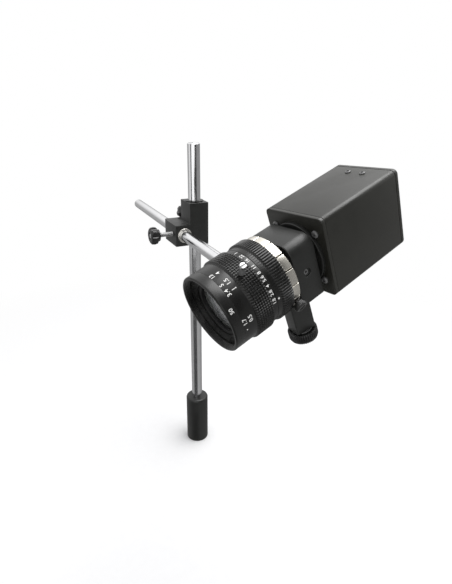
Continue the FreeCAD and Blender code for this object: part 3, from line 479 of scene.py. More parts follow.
def edge_mask(tree, radius_mm):
    """Near 1 on corners tighter than the radius and 0 on open faces, and the softened normal."""
    soft_normal = new_node(tree, "ShaderNodeBevel", {"Radius": radius_mm * MM}, samples=4).outputs[0]
    true_normal = new_node(tree, "ShaderNodeNewGeometry").outputs["Normal"]
    facing = vector_maths(tree, "DOT_PRODUCT", soft_normal, true_normal)
    return ramp(tree, facing, 0.99, 0.85), soft_normal


def new_material(name):
    made = bpy.data.materials.new(name)
    made.use_nodes = True
    return made, made.node_tree, made.node_tree.nodes["Principled BSDF"]


PATCHES_PER_M = (90, 90, 90)
FILM_PER_M = (60, 60, 60)
COAT_ROUGH = 0.15


def finish(name, colour, rough, metallic, grain_per_m, bump_mm, variation,
           wear=None, wear_mm=0.3, coat=0.0, specular=0.5, rough_spread=0.1):
    """A surface with fine grain, soft patches of colour and gloss, relief and worn edges."""
    made, tree, shader = new_material(name)
    grain = noise(tree, grain_per_m)
    patches = noise(tree, PATCHES_PER_M, detail=4)
    tone = maths(tree, "ADD", maths(tree, "MULTIPLY", patches, 0.6), maths(tree, "MULTIPLY", grain, 0.4))
    dark = [channel * (1 - variation) for channel in colour]
    light = [min(1.0, channel * (1 + variation)) for channel in colour]
    base = blend_colours(tree, ramp(tree, tone, 0.35, 0.65), dark, light)
    mask, soft_normal = edge_mask(tree, wear_mm)
    if wear:
        rubbed = maths(tree, "MULTIPLY", mask, ramp(tree, patches, 0.4, 0.6), clamp=True)
        base = blend_colours(tree, rubbed, base, wear)
    relief = {"Height": grain, "Distance": bump_mm * MM, "Normal": soft_normal}
    feed(tree, shader, {
        "Base Color": base,
        "Roughness": ramp(tree, patches, 0.3, 0.7, rough - rough_spread / 2, rough + rough_spread / 2),
        "Normal": new_node(tree, "ShaderNodeBump", relief).outputs[0],
        "Metallic": metallic, "Specular IOR Level": specular,
        "Coat Weight": coat, "Coat Roughness": COAT_ROUGH,
    })
    return made


def glass(name, tint, coating):
    """Coated optical glass, with a faint coloured reflection and a little film on it."""
    made, tree, shader = new_material(name)
    film = noise(tree, FILM_PER_M, detail=2)
    filmed = [channel * 0.97 for channel in tint]
    deep = [channel * 0.6 for channel in coating]
    relief = {"Height": film, "Distance": 0.002 * MM}
    feed(tree, shader, {
        "Base Color": blend_colours(tree, film, tint, filmed),
        "Specular Tint": blend_colours(tree, ramp(tree, film, 0.3, 0.7), coating, deep),
        "Roughness": ramp(tree, film, 0.3, 0.8, 0.0, 0.04),
        "Normal": new_node(tree, "ShaderNodeBump", relief).outputs[0],
        "Transmission Weight": 0.93, "IOR": 1.52,
    })
    return made


def even(value):
    return (value, value, value)


MOULDED, SPRAYED, CAST, SAWN = even(1200), even(1800), even(2500), even(300)
GROUND = (5000, 5000, 60)
LATHED = (60, 60, 6000)
RUBBED_BLACK = {"wear": even(0.11)}
RUBBED_LENS = {"wear": even(0.09), "wear_mm": 0.15}
RUBBED_STEEL = {"wear": even(0.3), "wear_mm": 0.15}
EVEN_NICKEL = {"rough_spread": 0.08}
# base colour, roughness, metallic share, grain per metre, relief in mm, variation of colour, the rest
LOOKS = {
    "black_anodised": ((0.013, 0.0135, 0.0125), 0.4, 0, CAST, 0.012, 0.12, RUBBED_BLACK),
    "body_paint": ((0.016, 0.016, 0.013), 0.38, 0, SPRAYED, 0.018, 0.12,
                   {**RUBBED_BLACK, "specular": 0.55}),
    "black_plastic": (even(0.012), 0.25, 0, MOULDED, 0.03, 0.2, {}),
    "chrome_rod": ((0.80, 0.80, 0.81), 0.17, 1, GROUND, 0.002, 0.04, {"rough_spread": 0.06}),
    "bright_nickel": ((0.86, 0.84, 0.79), 0.27, 1, LATHED, 0.004, 0.05, EVEN_NICKEL),
    "slotted_nickel": ((0.80, 0.77, 0.70), 0.27, 1, LATHED, 0.004, 0.05, EVEN_NICKEL),
    "steel": (even(0.56), 0.28, 1, LATHED, 0.003, 0.06, {}),
    "black_steel": (even(0.15), 0.36, 0.2, LATHED, 0.003, 0.15, RUBBED_STEEL),
    "brass": ((0.70, 0.50, 0.21), 0.3, 1, LATHED, 0.004, 0.08, {}),
    "lens_black": ((0.008, 0.008, 0.0075), 0.28, 0, LATHED, 0.003, 0.15, RUBBED_LENS),
    "lens_inner": (even(0.007), 0.5, 0, LATHED, 0.005, 0.12, {}),
    "circuit_board": ((0.02, 0.13, 0.05), 0.3, 0, CAST, 0.01, 0.12, {}),
    "sensor_ceramic": ((0.12, 0.11, 0.10), 0.4, 0, CAST, 0.01, 0.12, {}),
    "iris_steel": (even(0.03), 0.4, 0.5, CAST, 0.002, 0.12, {}),
    "lamp_red": ((0.5, 0.03, 0.02), 0.15, 0, CAST, 0.001, 0.12, {"coat": 0.5}),
    "socket_insulator": (even(0.03), 0.45, 0, CAST, 0.01, 0.12, {}),
    "white_fill": ((0.90, 0.90, 0.88), 0.5, 0, CAST, 0.004, 0.05, {}),
}


def paint_shade_below(slot, low_mm, high_mm):
    """Painted shade: fade a finish to near black where it lies closer to the piece's axis than a radius."""
    tree = MATERIALS[slot].node_tree
    shader = tree.nodes["Principled BSDF"]
    level = vector_maths(tree, "MULTIPLY", position(tree), (1, 1, 0), output="Vector")
    share = ramp(tree, vector_maths(tree, "LENGTH", level), low_mm * MM, high_mm * MM)
    unshaded_colour = shader.inputs["Base Color"].links[0].from_socket
    # the near black painted shade is laid over the finish's own colour
    feed(tree, shader, {"Base Color": blend_colours(tree, share, even(0.015), unshaded_colour)})


def paint(piece, slot):
    piece.data.materials.clear()
    piece.data.materials.append(MATERIALS[slot])


def stand_for(piece, node):
    """A piece takes a CAD node's place, body and material."""
    paint(piece, SLOT_OF[node])
    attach(piece, BODY_OF[node])
    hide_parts(node)
    return piece


def mark_on(piece, body):
    """A painted mark that rides on a body."""
    paint(piece, "white_fill")
    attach(piece, body)


MATERIALS = {slot: finish(slot, *look, **rest) for slot, (*look, rest) in LOOKS.items()}
MATERIALS["lens_glass"] = glass("lens_glass", (0.84, 0.86, 0.84), (0.6, 0.55, 0.8))
for cad_node, cad_piece in frame["nodes"].items():
    paint(cad_piece, SLOT_OF[cad_node])


# ---------------------------------------------------------------- stand
def make_foot():
    """The round socket: soft shoulders, the post's bore, and tapped holes below and at the side."""
    low, high = extent("foot_socket", ROW)
    screw_low, screw_high = extent("foot_set_screws", ROW)
    screw_r = screw_high.y
    shoulder_mm, base_mm = 3.2, 1.3
    foot = lathe("foot", [(0, low.z), (high.x, low.z, base_mm), (high.x, high.z, shoulder_mm),
                          (0, high.z)], ROW, 96)
    post_low, post_high = extent("post", ROW)
    tapped_r = radii("foot_socket", ROW)[0]
    cutters = [drill(post_high.x + 0.02, post_low.z, high.z + PAST_MM, ROW),
               drill(tapped_r, low.z - PAST_MM, post_low.z - 1, ROW)]
    for level in (screw_low.z + screw_r, screw_high.z - screw_r):
        cutters.append(drill(screw_r + FIT_MM, 0, high.x + PAST_MM, at(ROW, 0, 0, level, (-1, 0, 0)), 32))
    stand_for(carve(foot, *cutters), "foot_socket")


def make_foot_screws():
    """Two hexagon socket set screws in the foot's side."""
    low, high = extent("foot_set_screws", ROW)
    radius, pitch_mm, chamfer_mm, socket_mm = high.y, 0.8, 0.4, 2.5
    tip, end = -high.x, -low.x
    screws = []
    for level in (low.z + radius, high.z - radius):
        place = at(ROW, 0, 0, level, (-1, 0, 0))
        body = threaded_rod("screw", radius, pitch_mm, tip, end, place, chamfer_mm)
        screws.append(carve(body, hexagon(radius, end - socket_mm, end, place)))
    stand_for(joined("foot_screws", *screws), "foot_set_screws")


def make_post():
    low, high = extent("post", ROW)
    chamfer_mm, soft_mm = 1.0, 0.3
    turned("post", "upright_post", rod_outline(high.x, low.z, high.z, chamfer_mm, soft_mm), ROW)


# ---------------------------------------------------------------- clamp and its locks
SPLIT_MM = 1.6
LOBES = 7


def make_clamp():
    """The two-way clamp block: rounded edges and chamfered bores."""
    points = local_points("clamp_block", ROW)
    low, high = corners_of(points)
    boss_low, boss_high = corners_of([point for point in points if point.x < -high.x - 1])
    edge_mm, boss_round_mm, sharp_mm, mouth_mm = 0.8, 3.5, 0.01, 0.6
    clamp = slab("clamp", rectangle(high.x, high.y, sharp_mm), low.z, high.z, ROW)
    boss_outline = [(low.x, low.y, boss_round_mm), (high.x, low.y, sharp_mm), (high.x, 0, sharp_mm),
                    (low.x, 0, boss_round_mm)]
    boss = slab("boss", boss_outline, boss_low.z, boss_high.z, ROW)
    carve(clamp, boss, operation="UNION")
    rework(clamp.data, lambda bm: soften(bm, edge_mm))
    post_r, rod_r = radii("clamp_block", ROW)[0], radii("clamp_block", ROD)[0]
    cutters = [
        through(post_r, low.z, high.z, ROW), countersink(post_r, mouth_mm, high.z, ROW),
        through(rod_r, low.x, high.x, ROD), countersink(rod_r, mouth_mm, high.x, ROD),
    ]
    screw_r = radii("post_lock_screw", screw_frame("post_lock_turn"))[1] + FIT_MM
    for joint in ("post_lock_turn", "rod_lock_turn"):
        cutters.append(drill(screw_r, -1.5 * high.x, 2 * high.x, screw_frame(joint), 48))
    stand_for(carve(clamp, *cutters), "clamp_block")


def make_post_bush():
    """The split brass sleeve between the clamp and the post."""
    low, high, inner, flange = ring_sizes("post_bush", ROW)
    sleeve = radii("post_bush", ROW, high - 1)[1]
    flange_top = levels("clamp_block", ROW)[0] - FIT_MM
    soft_mm = 0.4
    bush = lathe("post_sleeve", [
        (inner, low, soft_mm), (flange, low, soft_mm), (flange, flange_top, soft_mm),
        (sleeve, flange_top), (sleeve, high, soft_mm), (inner, high, soft_mm),
    ], ROW, 96)
    slot = block(sleeve, SPLIT_MM, low - PAST_MM, high + PAST_MM, at(ROW, sleeve, 0, 0))
    stand_for(carve(bush, slot), "post_bush")


def make_rod_bush():
    """The bright flanged sleeve round the cross rod."""
    low, high, inner, flange = ring_sizes("rod_bush", ROD)
    sleeve = radii("rod_bush", ROD, below=low + 1)[1]
    flange_low = extent("clamp_block", ROW)[1].x + FIT_MM
    clip_low, clip_high, clip_r = ring_sizes("rod_bush_clip", ROD)[:3]
    soft_mm, lip_mm, room_mm, uncut_mm = 0.3, 0.8, 0.1, 6
    groove_r, groove_low, groove_high = clip_r - FIT_MM, clip_low - room_mm, clip_high + room_mm
    bush = lathe("rod_sleeve_bush", [
        (inner, low, soft_mm), (sleeve, low, soft_mm), (sleeve, groove_low), (groove_r, groove_low),
        (groove_r, groove_high), (sleeve, groove_high), (sleeve, flange_low),
        (flange, flange_low, soft_mm), (flange, high, lip_mm), (inner, high, soft_mm),
    ], ROD, 96)
    side = (ROD.inverted().to_3x3() @ Vector((0, 0, 1))).normalized()
    slot_place = at(ROD, -side.y * sleeve, side.x * sleeve, 0)
    slot = block(SPLIT_MM, sleeve, low - PAST_MM, flange_low - uncut_mm, slot_place)
    stand_for(carve(bush, slot), "rod_bush")


def soft_lower(first, second, width):
    """The smaller of two values, with the change between them rounded."""
    share = max(0.0, width - abs(first - second)) / width
    return min(first, second) - share * share * width / 4


def make_lock(name):
    """A lobed hand knob with a dished face, moulded on a threaded screw."""
    place = screw_frame(name + "_turn")
    low, high, _, radius = ring_sizes(name + "_knob", place)
    screw_low, screw_high, _, screw_r = ring_sizes(name + "_screw", place)
    tall, hub = high - low, radius * 0.68
    flute_r, flute_out = radius * 0.30, radius * 1.13

    def lobed(angle, size, along):
        """The outer wall is cut back by round flutes between the lobes."""
        off = ((angle * LOBES / TURN) % 1 - 0.5) * TURN / LOBES
        across = flute_out * math.sin(off)
        if size < hub * 0.7 or abs(across) >= flute_r:
            return size
        flute = flute_out * math.cos(off) - math.sqrt(flute_r ** 2 - across ** 2)
        return soft_lower(size, flute, radius * 0.03)

    dish_mm, rim_mm, play_mm = 0.9, 1.4, 0.02
    step_mm, pitch_mm, chamfer_mm, sunk_mm = 0.9, 1.0, 0.5, 0.3
    turned(name + "_knob", name + "_grip", [
        (screw_r + play_mm, low), (hub, low, 0.6), (hub, low + tall * 0.16, 0.5),
        (radius * 0.93, low + tall * 0.3, 1.2), (radius, low + tall * 0.55, 3),
        (radius * 0.96, high - rim_mm, 1.5), (radius * 0.72, high, 1.2), (radius * 0.5, high, 0.4),
        (radius * 0.46, high - dish_mm, 0.3), (screw_r + play_mm, high - dish_mm),
    ], place, LOBES * 36, lobed, step_mm)
    screw = threaded_rod(name + "_stud", screw_r, pitch_mm, screw_low, screw_high - sunk_mm, place,
                         chamfer_mm, 48)
    stand_for(screw, name + "_screw")


# ---------------------------------------------------------------- cross rod and arm block
CAMERA_KNOB_RIBS = 40
CAMERA_SCREW_LOW, CAMERA_SCREW_HIGH, _, CAMERA_SCREW_R = ring_sizes("camera_screw", ARM)
CAMERA_HOLE_R = CAMERA_SCREW_R + 0.08
SHOULDER = levels("arm_block", ROD)[0]
SPIGOT_R = radii("cross_rod", ROD, SHOULDER + 1)[1]


def make_cross_rod():
    """The cross rod, with the spigot that the arm block sits on."""
    low, high, _, radius = ring_sizes("cross_rod", ROD)
    chamfer_mm, soft_mm = 1.0, 0.3
    rod = lathe("cross_bar", [
        (0, low), (radius - chamfer_mm, low, soft_mm), (radius, low + chamfer_mm, soft_mm),
        (radius, SHOULDER, soft_mm), (SPIGOT_R, SHOULDER), (SPIGOT_R, high, soft_mm), (0, high),
    ], ROD)
    stand_for(carve(rod, through(CAMERA_HOLE_R, -radius, radius, ARM)), "cross_rod")


def make_arm_block():
    """The upright block between the cross rod and the camera."""
    low, high = extent("arm_block", ARM)
    corner_mm, edge_mm, play_mm, room_mm = 1.3, 0.5, 0.02, 0.1
    piece = slab("arm_bracket", rectangle(high.x, high.y, corner_mm), low.z, high.z, ARM, edge_mm)
    rod_end = levels("cross_rod", ROD)[1]
    hole = through(CAMERA_HOLE_R, low.z, high.z, ARM)
    socket = drill(SPIGOT_R + play_mm, SHOULDER - PAST_MM, rod_end + room_mm, ROD)
    stand_for(carve(piece, hole, socket), "arm_block")


def make_camera_knob():
    """The ribbed knob under the arm block, rounded below."""
    low, high, _, radius = ring_sizes("camera_knob", ARM)
    groove_mm, hub, play_mm, step_mm = 0.65, radius * 0.72, 0.02, 1.0
    round_mm, swell_mm, lip_mm = 1.2, 3.4, 1.1

    def ribbed(angle, size, along):
        wave = math.cos(angle * CAMERA_KNOB_RIBS)
        deep = max(0.0, -wave - 0.1) / 0.9
        outwards = max(0.0, min(1.0, (size - hub) / (radius - hub) * 1.5))
        return size - groove_mm * deep ** 0.7 * outwards

    bore, floor = CAMERA_SCREW_R + play_mm, CAMERA_SCREW_LOW - play_mm
    turned("camera_knob", "camera_grip", [
        (0, low), (radius * 0.74, low, 1.5), (radius * 0.93, low + round_mm, 1.2),
        (radius, low + swell_mm, 2), (radius, high - lip_mm, 0.4), (radius - lip_mm, high, 0.3),
        (bore, high), (bore, floor), (0, floor),
    ], ARM, CAMERA_KNOB_RIBS * 14, ribbed, step_mm)


def make_camera_screw():
    """The quarter inch screw up through the arm block into the adapter."""
    pitch_mm, chamfer_mm = 1.27, 0.7
    screw = threaded_rod("camera_stud", CAMERA_SCREW_R, pitch_mm, CAMERA_SCREW_LOW, CAMERA_SCREW_HIGH,
                         ARM, chamfer_mm)
    stand_for(screw, "camera_screw")


# ---------------------------------------------------------------- camera head
BODY_CORNER_MM = 4.0
WALL_MM = 2
TOP_SCREW_R = 1.3
FRONT_SCREW_R = 1.55
TOP = at(HEAD, 0, 0, 0, (0, 1, 0))
BACK_FACE = -levels("rear_cover", HEAD)[0]
SEAT = BACK_FACE + 0.02
TAIL_LOW = levels("lens_mount_ring", HEAD)[0]
TAIL_R = radii("lens_mount_ring", HEAD, below=TAIL_LOW + 1)[1]
NECK_SPIGOT_R = radii("mount_neck", HEAD, below=levels("mount_neck", HEAD)[0] + 1)[1]


def make_adapter():
    """The nose block that the lens screws into, round at its top corners and square below."""
    low, high = extent("adapter_block", HEAD)
    corner_mm, low_corner_mm, edge_mm = 9, 1.5, 0.7
    outline = [(low.x, low.y, low_corner_mm), (high.x, low.y, low_corner_mm),
               (high.x, high.y, corner_mm), (low.x, high.y, corner_mm)]
    piece = slab("lens_adapter", outline, low.z, high.z, HEAD, edge_mm)
    screw_low, screw_high = extent("adapter_set_screw", HEAD)
    middle = (screw_low + screw_high) / 2
    screw_r = (screw_high.y - screw_low.y) / 2
    side = at(HEAD, 0, middle.y, middle.z, (1, 0, 0))
    recess_r, recess_mm, mouth_mm, tail_room_mm, screw_start = screw_r * 1.65, 1.2, 0.3, 3, 10
    outside = high.x + PAST_MM
    cutters = [
        through(radii("adapter_block", HEAD)[0], low.z, high.z, HEAD, 96),
        drill(TAIL_R + FIT_MM, TAIL_LOW - tail_room_mm, high.z + PAST_MM, HEAD, 96),
        drill(CAMERA_HOLE_R, 0, CAMERA_SCREW_HIGH + 1, ARM),
        drill(screw_r + FIT_MM, screw_start, outside, side, 48),
        drill(recess_r, high.x - recess_mm, outside, side, 48),
        countersink(recess_r, mouth_mm, high.x, side, 48),
    ]
    stand_for(carve(piece, *cutters), "adapter_block")
    screw = drill(screw_r, screw_low.x, screw_high.x, side, 32)
    carve(screw, hexagon(screw_r, screw_high.x - screw_r, screw_high.x, side))
    screw.name = "lens_set_screw"
    stand_for(screw, "adapter_set_screw")


def make_neck():
    """The round flange and the neck that hold the nose block on the front plate."""
    low, high, inner, flange_r = ring_sizes("mount_neck", HEAD)
    neck_r = radii("mount_neck", HEAD, high - 1)[1]
    flange_top = levels("mount_neck", HEAD, neck_r + 1)[1]
    turned("mount_neck", "nose_flange", [
        (inner, low, 0.2), (NECK_SPIGOT_R, low), (NECK_SPIGOT_R, 0), (flange_r, 0, 0.15),
        (flange_r, flange_top, 0.6), (neck_r, flange_top, 0.3), (neck_r, high), (inner, high),
    ], HEAD, 144)


def make_shell():
    """The camera's four sides, a tube open at both ends."""
    low, high = extent("body_shell", HEAD)
    edge_mm, hole_mm = 0.4, 5
    outside = rectangle(high.x, high.y, BODY_CORNER_MM)
    inside = rectangle(high.x - WALL_MM, high.y - WALL_MM, BODY_CORNER_MM - 1)
    piece = slab("camera_sides", outside, low.z, high.z, HEAD, edge_mm)
    cutters = [slab("cutter", inside, low.z - PAST_MM, high.z + PAST_MM, HEAD)]
    for place, _ in solids("top_screws", TOP):
        cutters.append(drill(TOP_SCREW_R, high.y - hole_mm, high.y + PAST_MM, place, 24))
    stand_for(carve(piece, *cutters), "body_shell")


def make_front_plate():
    low, high = extent("front_plate", HEAD)
    edge_mm = 0.45
    outline = rectangle(high.x, high.y, BODY_CORNER_MM)
    piece = slab("camera_front", outline, low.z, high.z, HEAD, edge_mm)
    cutters = [through(NECK_SPIGOT_R + FIT_MM, low.z, high.z, HEAD, 96)]
    for place, _ in solids("front_plate_screws", HEAD):
        cutters.append(through(FRONT_SCREW_R, low.z, high.z, place, 24))
    stand_for(carve(piece, *cutters), "front_plate")


def make_rear_cover():
    """The back of the camera, rounded all round, with its lip and the connectors' holes."""
    low, high = extent("rear_cover", HEAD)
    edge_mm, lip_wall_mm, lip_edge_mm, gap_mm, overlap_mm, seam_mm = 1.6, 2.4, 0.3, 0.1, 0.5, 0.3
    seam = levels("body_shell", HEAD)[0] - seam_mm
    outline = rectangle(high.x, high.y, BODY_CORNER_MM)
    cover = slab("camera_back", outline, low.z, seam + edge_mm, HEAD, edge_mm)
    carve(cover, block(4 * high.x, 4 * high.y, seam, seam + 2 * edge_mm, HEAD))
    lip_x, lip_y = high.x - WALL_MM - gap_mm, high.y - WALL_MM - gap_mm
    lip = slab("lip", rectangle(lip_x, lip_y, 2), seam - overlap_mm, high.z, HEAD, lip_edge_mm)
    inner = rectangle(lip_x - lip_wall_mm, lip_y - lip_wall_mm, 1)
    carve(lip, slab("cutter", inner, seam - 2 * PAST_MM, high.z + PAST_MM, HEAD))
    carve(cover, lip, operation="UNION")
    cutters = []
    for node in ("rear_cover_screws", "video_socket", "power_socket", "pilot_lamp"):
        for place, points in solids(node, BACK):
            shank_r = max(point.xy.length for point in points if point.z < BACK_FACE - 0.5)
            cutters.append(through(shank_r + FIT_MM, -high.z, BACK_FACE, place, 48))
    for place, _ in solids("top_screws", TOP):
        cutters.append(through(TOP_SCREW_R, lip_y - lip_wall_mm, lip_y, place, 24))
    stand_for(carve(cover, *cutters), "rear_cover")


def make_button_screws(node, outwards):
    """Button head screws with a hexagon socket, in the places of a node's solids."""
    screws = []
    for place, points in solids(node, at(HEAD, 0, 0, 0, outwards)):
        low, high = corners_of(points)
        head_r = high.x
        seat = min(point.z for point in points if point.xy.length > 0.9 * head_r)
        shank_r = max(point.xy.length for point in points if point.z < seat - 0.5)
        tall = high.z - seat
        screw = lathe("screw", [
            (0, low.z), (shank_r, low.z, 0.3), (shank_r, seat), (head_r, seat, 0.1),
            (head_r, seat + tall * 0.5, 0.5), (head_r * 0.72, high.z, 0.9), (0, high.z),
        ], place, 40)
        screws.append(carve(screw, hexagon(head_r * 0.95, seat + tall * 0.4, high.z, place)))
    stand_for(joined(node + "_set", *screws), node)


def on_back(node):
    """A frame on the middle of a CAD node, with z out of the camera's back."""
    return centred(BACK, local_points(node, BACK))


def make_video_socket():
    """A bright bayonet socket with two lugs, and its pin in a dark insulator."""
    place = on_back("video_socket")
    low, high, core_r, flange_r = ring_sizes("video_socket", place)
    body_r = radii("video_socket", place, below=BACK_FACE - 0.5)[1]
    flange, floor = BACK_FACE + 2.4, BACK_FACE + 3
    shell_r, wall_mm = 4.85, 0.75
    socket = lathe("video_connector", [
        (core_r, low), (body_r, low, 0.3), (body_r, SEAT), (flange_r, SEAT, 0.2),
        (flange_r, flange, 0.5), (shell_r, flange, 0.3), (shell_r, high, 0.25),
        (shell_r - wall_mm, high, 0.15), (shell_r - wall_mm, floor, 0.2), (core_r, floor),
    ], place, 96)
    lug_r, lug_in, lug_out, lug_down = 0.85, shell_r - 0.4, 5.6, 2.2
    for side in (-1, 1):
        lug = lathe("lug", [(0, lug_in), (lug_r, lug_in), (lug_r, lug_out, 0.2), (0, lug_out)],
                    at(place, 0, 0, high - lug_down, (side, 0, 0)), 32)
        carve(socket, lug, operation="UNION")
    stand_for(socket, "video_socket")
    low, high = levels("video_socket_pin", place)
    pin_r = radii("video_socket_pin", place, high - 1)[1]
    step = levels("video_socket_pin", place, core_r - 0.2)[1]
    turned("video_socket_pin", "video_contact", [
        (0, low), (core_r - FIT_MM, low), (core_r - FIT_MM, step, 0.2), (pin_r, step, 0.2),
        (pin_r, high, 0.3), (0, high),
    ], place, 48)


def make_power_socket():
    place = on_back("power_socket")
    low, high, _, flange_r = ring_sizes("power_socket", place)
    body_r = radii("power_socket", place, below=BACK_FACE - 0.5)[1]
    bore, pin_r, floor, tip = 3, 1, BACK_FACE - 7, BACK_FACE + 0.8
    turned("power_socket", "power_connector", [
        (0, low), (body_r, low, 0.3), (body_r, SEAT), (flange_r, SEAT, 0.2), (flange_r, high, 0.5),
        (bore, high, 0.3), (bore, floor), (pin_r, floor), (pin_r, tip, 0.4), (0, tip),
    ], place, 80)


def make_lamp():
    place = on_back("pilot_lamp")
    low, high, _, radius = ring_sizes("pilot_lamp", place)
    turned("pilot_lamp", "power_lamp", [
        (0, low), (radius, low, 0.2), (radius, high - 1, 0.4), (radius * 0.72, high - 0.3, 0.6), (0, high),
    ], place, 48)


# ---------------------------------------------------------------- lens rings
NOTCHES = 16
NOTCH_PHI = 20.9
GRIP_RIBS = 96
THUMB_RIBS = 30
KNURL_RIBS = 100
KNURL_GROOVES = 6
SCALE_MM = 10.8


def ribs(count, low, high, least_r, depth):
    """A relief of straight ribs along the axis, within a band of the surface."""
    groove_share, flat_floor = 0.62, 1.4

    def relief(angle, radius, along):
        if radius < least_r or not low < along < high:
            return radius
        from_middle = abs(2 * (angle * count / TURN % 1) - 1)
        groove = max(0.0, 1 - from_middle / groove_share)
        return radius - depth * min(1.0, flat_floor * groove)
    return relief


def along_thread(radius, start, end, pitch, steps_per_turn):
    """Points along a threaded surface, close enough together to carry its thread."""
    steps = round(abs(end - start) / (pitch / steps_per_turn))
    return [(radius, start + (end - start) * step / steps) for step in range(steps + 1)]


def make_mount_ring():
    """The bright ring: shallow notches all round with painted shade in them, rounded rims and a thread on its
    tail.
    """
    low, high, inner, outer = ring_sizes("lens_mount_ring", HEAD)
    back = levels("lens_mount_ring", HEAD, outer - 1)[0]
    pitch_mm, thread_mm, edge_mm = 0.8, 0.35, 0.45
    notch_mm, notch_deg, slope_deg = 0.95, 1.0, 0.5
    first = math.radians(90 - NOTCH_PHI)

    def relief(angle, radius, along):
        if radius > outer - 1:
            off = abs(((angle - first) * NOTCHES / TURN + 0.5) % 1 - 0.5) * 360 / NOTCHES
            return radius - notch_mm * max(0.0, min(1.0, (notch_deg - off) / slope_deg))
        if abs(radius - TAIL_R) < 0.01 and along < back - 0.1:
            return radius - thread_mm * thread_depth(angle, along, pitch_mm)
        return radius

    points = [(inner, low), *along_thread(TAIL_R, low, back, pitch_mm, 5),
              (outer, back, edge_mm), (outer, high, edge_mm), (inner, high)]
    ring = lathe("mount_ring", points, HEAD, 720, relief)
    place = screw_frame("mount_screw_turn")
    shank_r = radii("mount_thumb_screw", place, below=0)[1]
    deep_mm, out_mm, shade_deep_mm, shade_mm = 8, 2, 0.8, 0.55
    carve(ring, drill(shank_r + FIT_MM, -deep_mm, out_mm, place, 32))
    stand_for(ring, "lens_mount_ring")
    # painted shade: the finish fades to near black in the bottoms of the notches
    paint_shade_below("slotted_nickel", outer - shade_deep_mm, outer - shade_mm)
    paint(ring, "slotted_nickel")


def make_grip_ring():
    """Straight ribs on the grip, then the smooth band that carries the index dot."""
    low, high, inner, outer = ring_sizes("mount_grip_ring", HEAD)
    band_r = radii("aperture_ring", HEAD)[1]
    slope = levels_at("mount_grip_ring", HEAD, outer)[1]
    band = levels_at("mount_grip_ring", HEAD, band_r)[0]
    chamfer_mm, rib_mm = 0.6, 0.75
    turned("mount_grip_ring", "rear_grip", [
        (inner, low), (outer - chamfer_mm, low), (outer, low + chamfer_mm), (outer, slope),
        (band_r, band), (band_r, high, 0.3), (inner, high),
    ], HEAD, GRIP_RIBS * 10, ribs(GRIP_RIBS, low - 1, slope + 0.3, band_r + 0.1, rib_mm))


def make_thumb_screw():
    """The round black screw under the mount ring, with a finely ribbed rim."""
    place = screw_frame("mount_screw_turn")
    low, high, _, radius = ring_sizes("mount_thumb_screw", place)
    shank_r = radii("mount_thumb_screw", place, below=0)[1]
    under = levels("mount_thumb_screw", place, radius - 1)[0]
    dish_mm, rib_mm, plain_mm = 0.5, 0.3, 0.5
    relief = ribs(THUMB_RIBS, under + plain_mm, high - plain_mm, radius - rib_mm, rib_mm)
    turned("mount_thumb_screw", "thumb_screw", [
        (0, low), (shank_r, low, 0.3), (shank_r, under), (radius, under, 0.4), (radius, high, 0.9),
        (radius * 0.6, high, 0.4), (radius * 0.5, high - dish_mm, 0.3), (0, high - dish_mm),
    ], place, THUMB_RIBS * 8, relief)


def scale_start():
    """Where the plain scale barrel starts and its radius there."""
    high = levels("focus_ring", HEAD)[1]
    radius = radii("focus_ring", HEAD, high - SCALE_MM, high - 1)[1]
    return levels_at("focus_ring", HEAD, radius)[0], radius


def make_focus_ring():
    """The cross-cut knurl and the plain scale barrel."""
    low, high, inner, outer = ring_sizes("focus_ring", HEAD)
    back_r = radii("focus_ring", HEAD, below=low + 1)[0]
    step = levels_at("focus_ring", HEAD, inner)[0]
    knurl = levels_at("focus_ring", HEAD, outer)[1]
    scale_low, scale_r = scale_start()
    depth_mm, half_mm, chamfer_mm, rib_mm = 0.5, 0.42, 0.6, 0.6
    start = low + chamfer_mm
    points = [(back_r, low), (outer - chamfer_mm, low), (outer, start)]
    pitch = (knurl - start) / (KNURL_GROOVES + 0.5)
    for index in range(KNURL_GROOVES):
        middle = start + pitch * (index + 0.75)
        points += [(outer, middle - half_mm), (outer - depth_mm, middle - half_mm * 0.3),
                   (outer - depth_mm, middle + half_mm * 0.3), (outer, middle + half_mm)]
    points += [(outer, knurl), (scale_r + chamfer_mm, scale_low - chamfer_mm), (scale_r, scale_low),
               (scale_r, high, 0.1), (inner, high), (inner, step), (back_r, step)]
    relief = ribs(KNURL_RIBS, low - 1, knurl + 0.2, scale_r + 0.9, rib_mm)
    ring = lathe("focus_grip", points, HEAD, KNURL_RIBS * 10, relief)
    place = screw_frame("focus_lock_turn")
    shank_r = radii("focus_lock_screw", place, below=-1)[1]
    depth = levels("focus_lock_screw", place)[0] - 0.3
    stand_for(carve(ring, drill(shank_r + FIT_MM, depth, 2, place, 32)), "focus_ring")


def make_focus_screw():
    """The bright slotted screw on its dark collar."""
    place = screw_frame("focus_lock_turn", HEAD.to_3x3() @ Vector((0, 0, 1)))
    plain_ring("focus_screw_collar", "lock_collar", place, 64, 0, 0.4)
    low, high, _, head_r = ring_sizes("focus_lock_screw", place)
    shank_r = radii("focus_lock_screw", place, below=-1)[1]
    under = levels("focus_screw_collar", place)[1] + FIT_MM
    slot_mm, slot_deep_mm = 0.9, 1.6
    screw = lathe("lock_screw", [
        (0, low), (shank_r, low, 0.3), (shank_r, under), (head_r, under, 0.2), (head_r, high, 0.5), (0, high),
    ], place, 64)
    slot = block(4 * head_r, slot_mm, high - slot_deep_mm, high + PAST_MM, place)
    stand_for(carve(screw, slot), "focus_lock_screw")


# ---------------------------------------------------------------- optics
def make_cell():
    low, high, rear_r, outer = ring_sizes("lens_cell", HEAD)
    front_r = radii("lens_cell", HEAD, high - 1)[0]
    step = levels_at("lens_cell", HEAD, front_r)[0]
    turned("lens_cell", "optical_cell", [
        (rear_r, low, 0.4), (outer, low, 0.4), (outer, high, 0.3), (front_r, high, 0.3),
        (front_r, step), (rear_r, step),
    ], HEAD, 144)


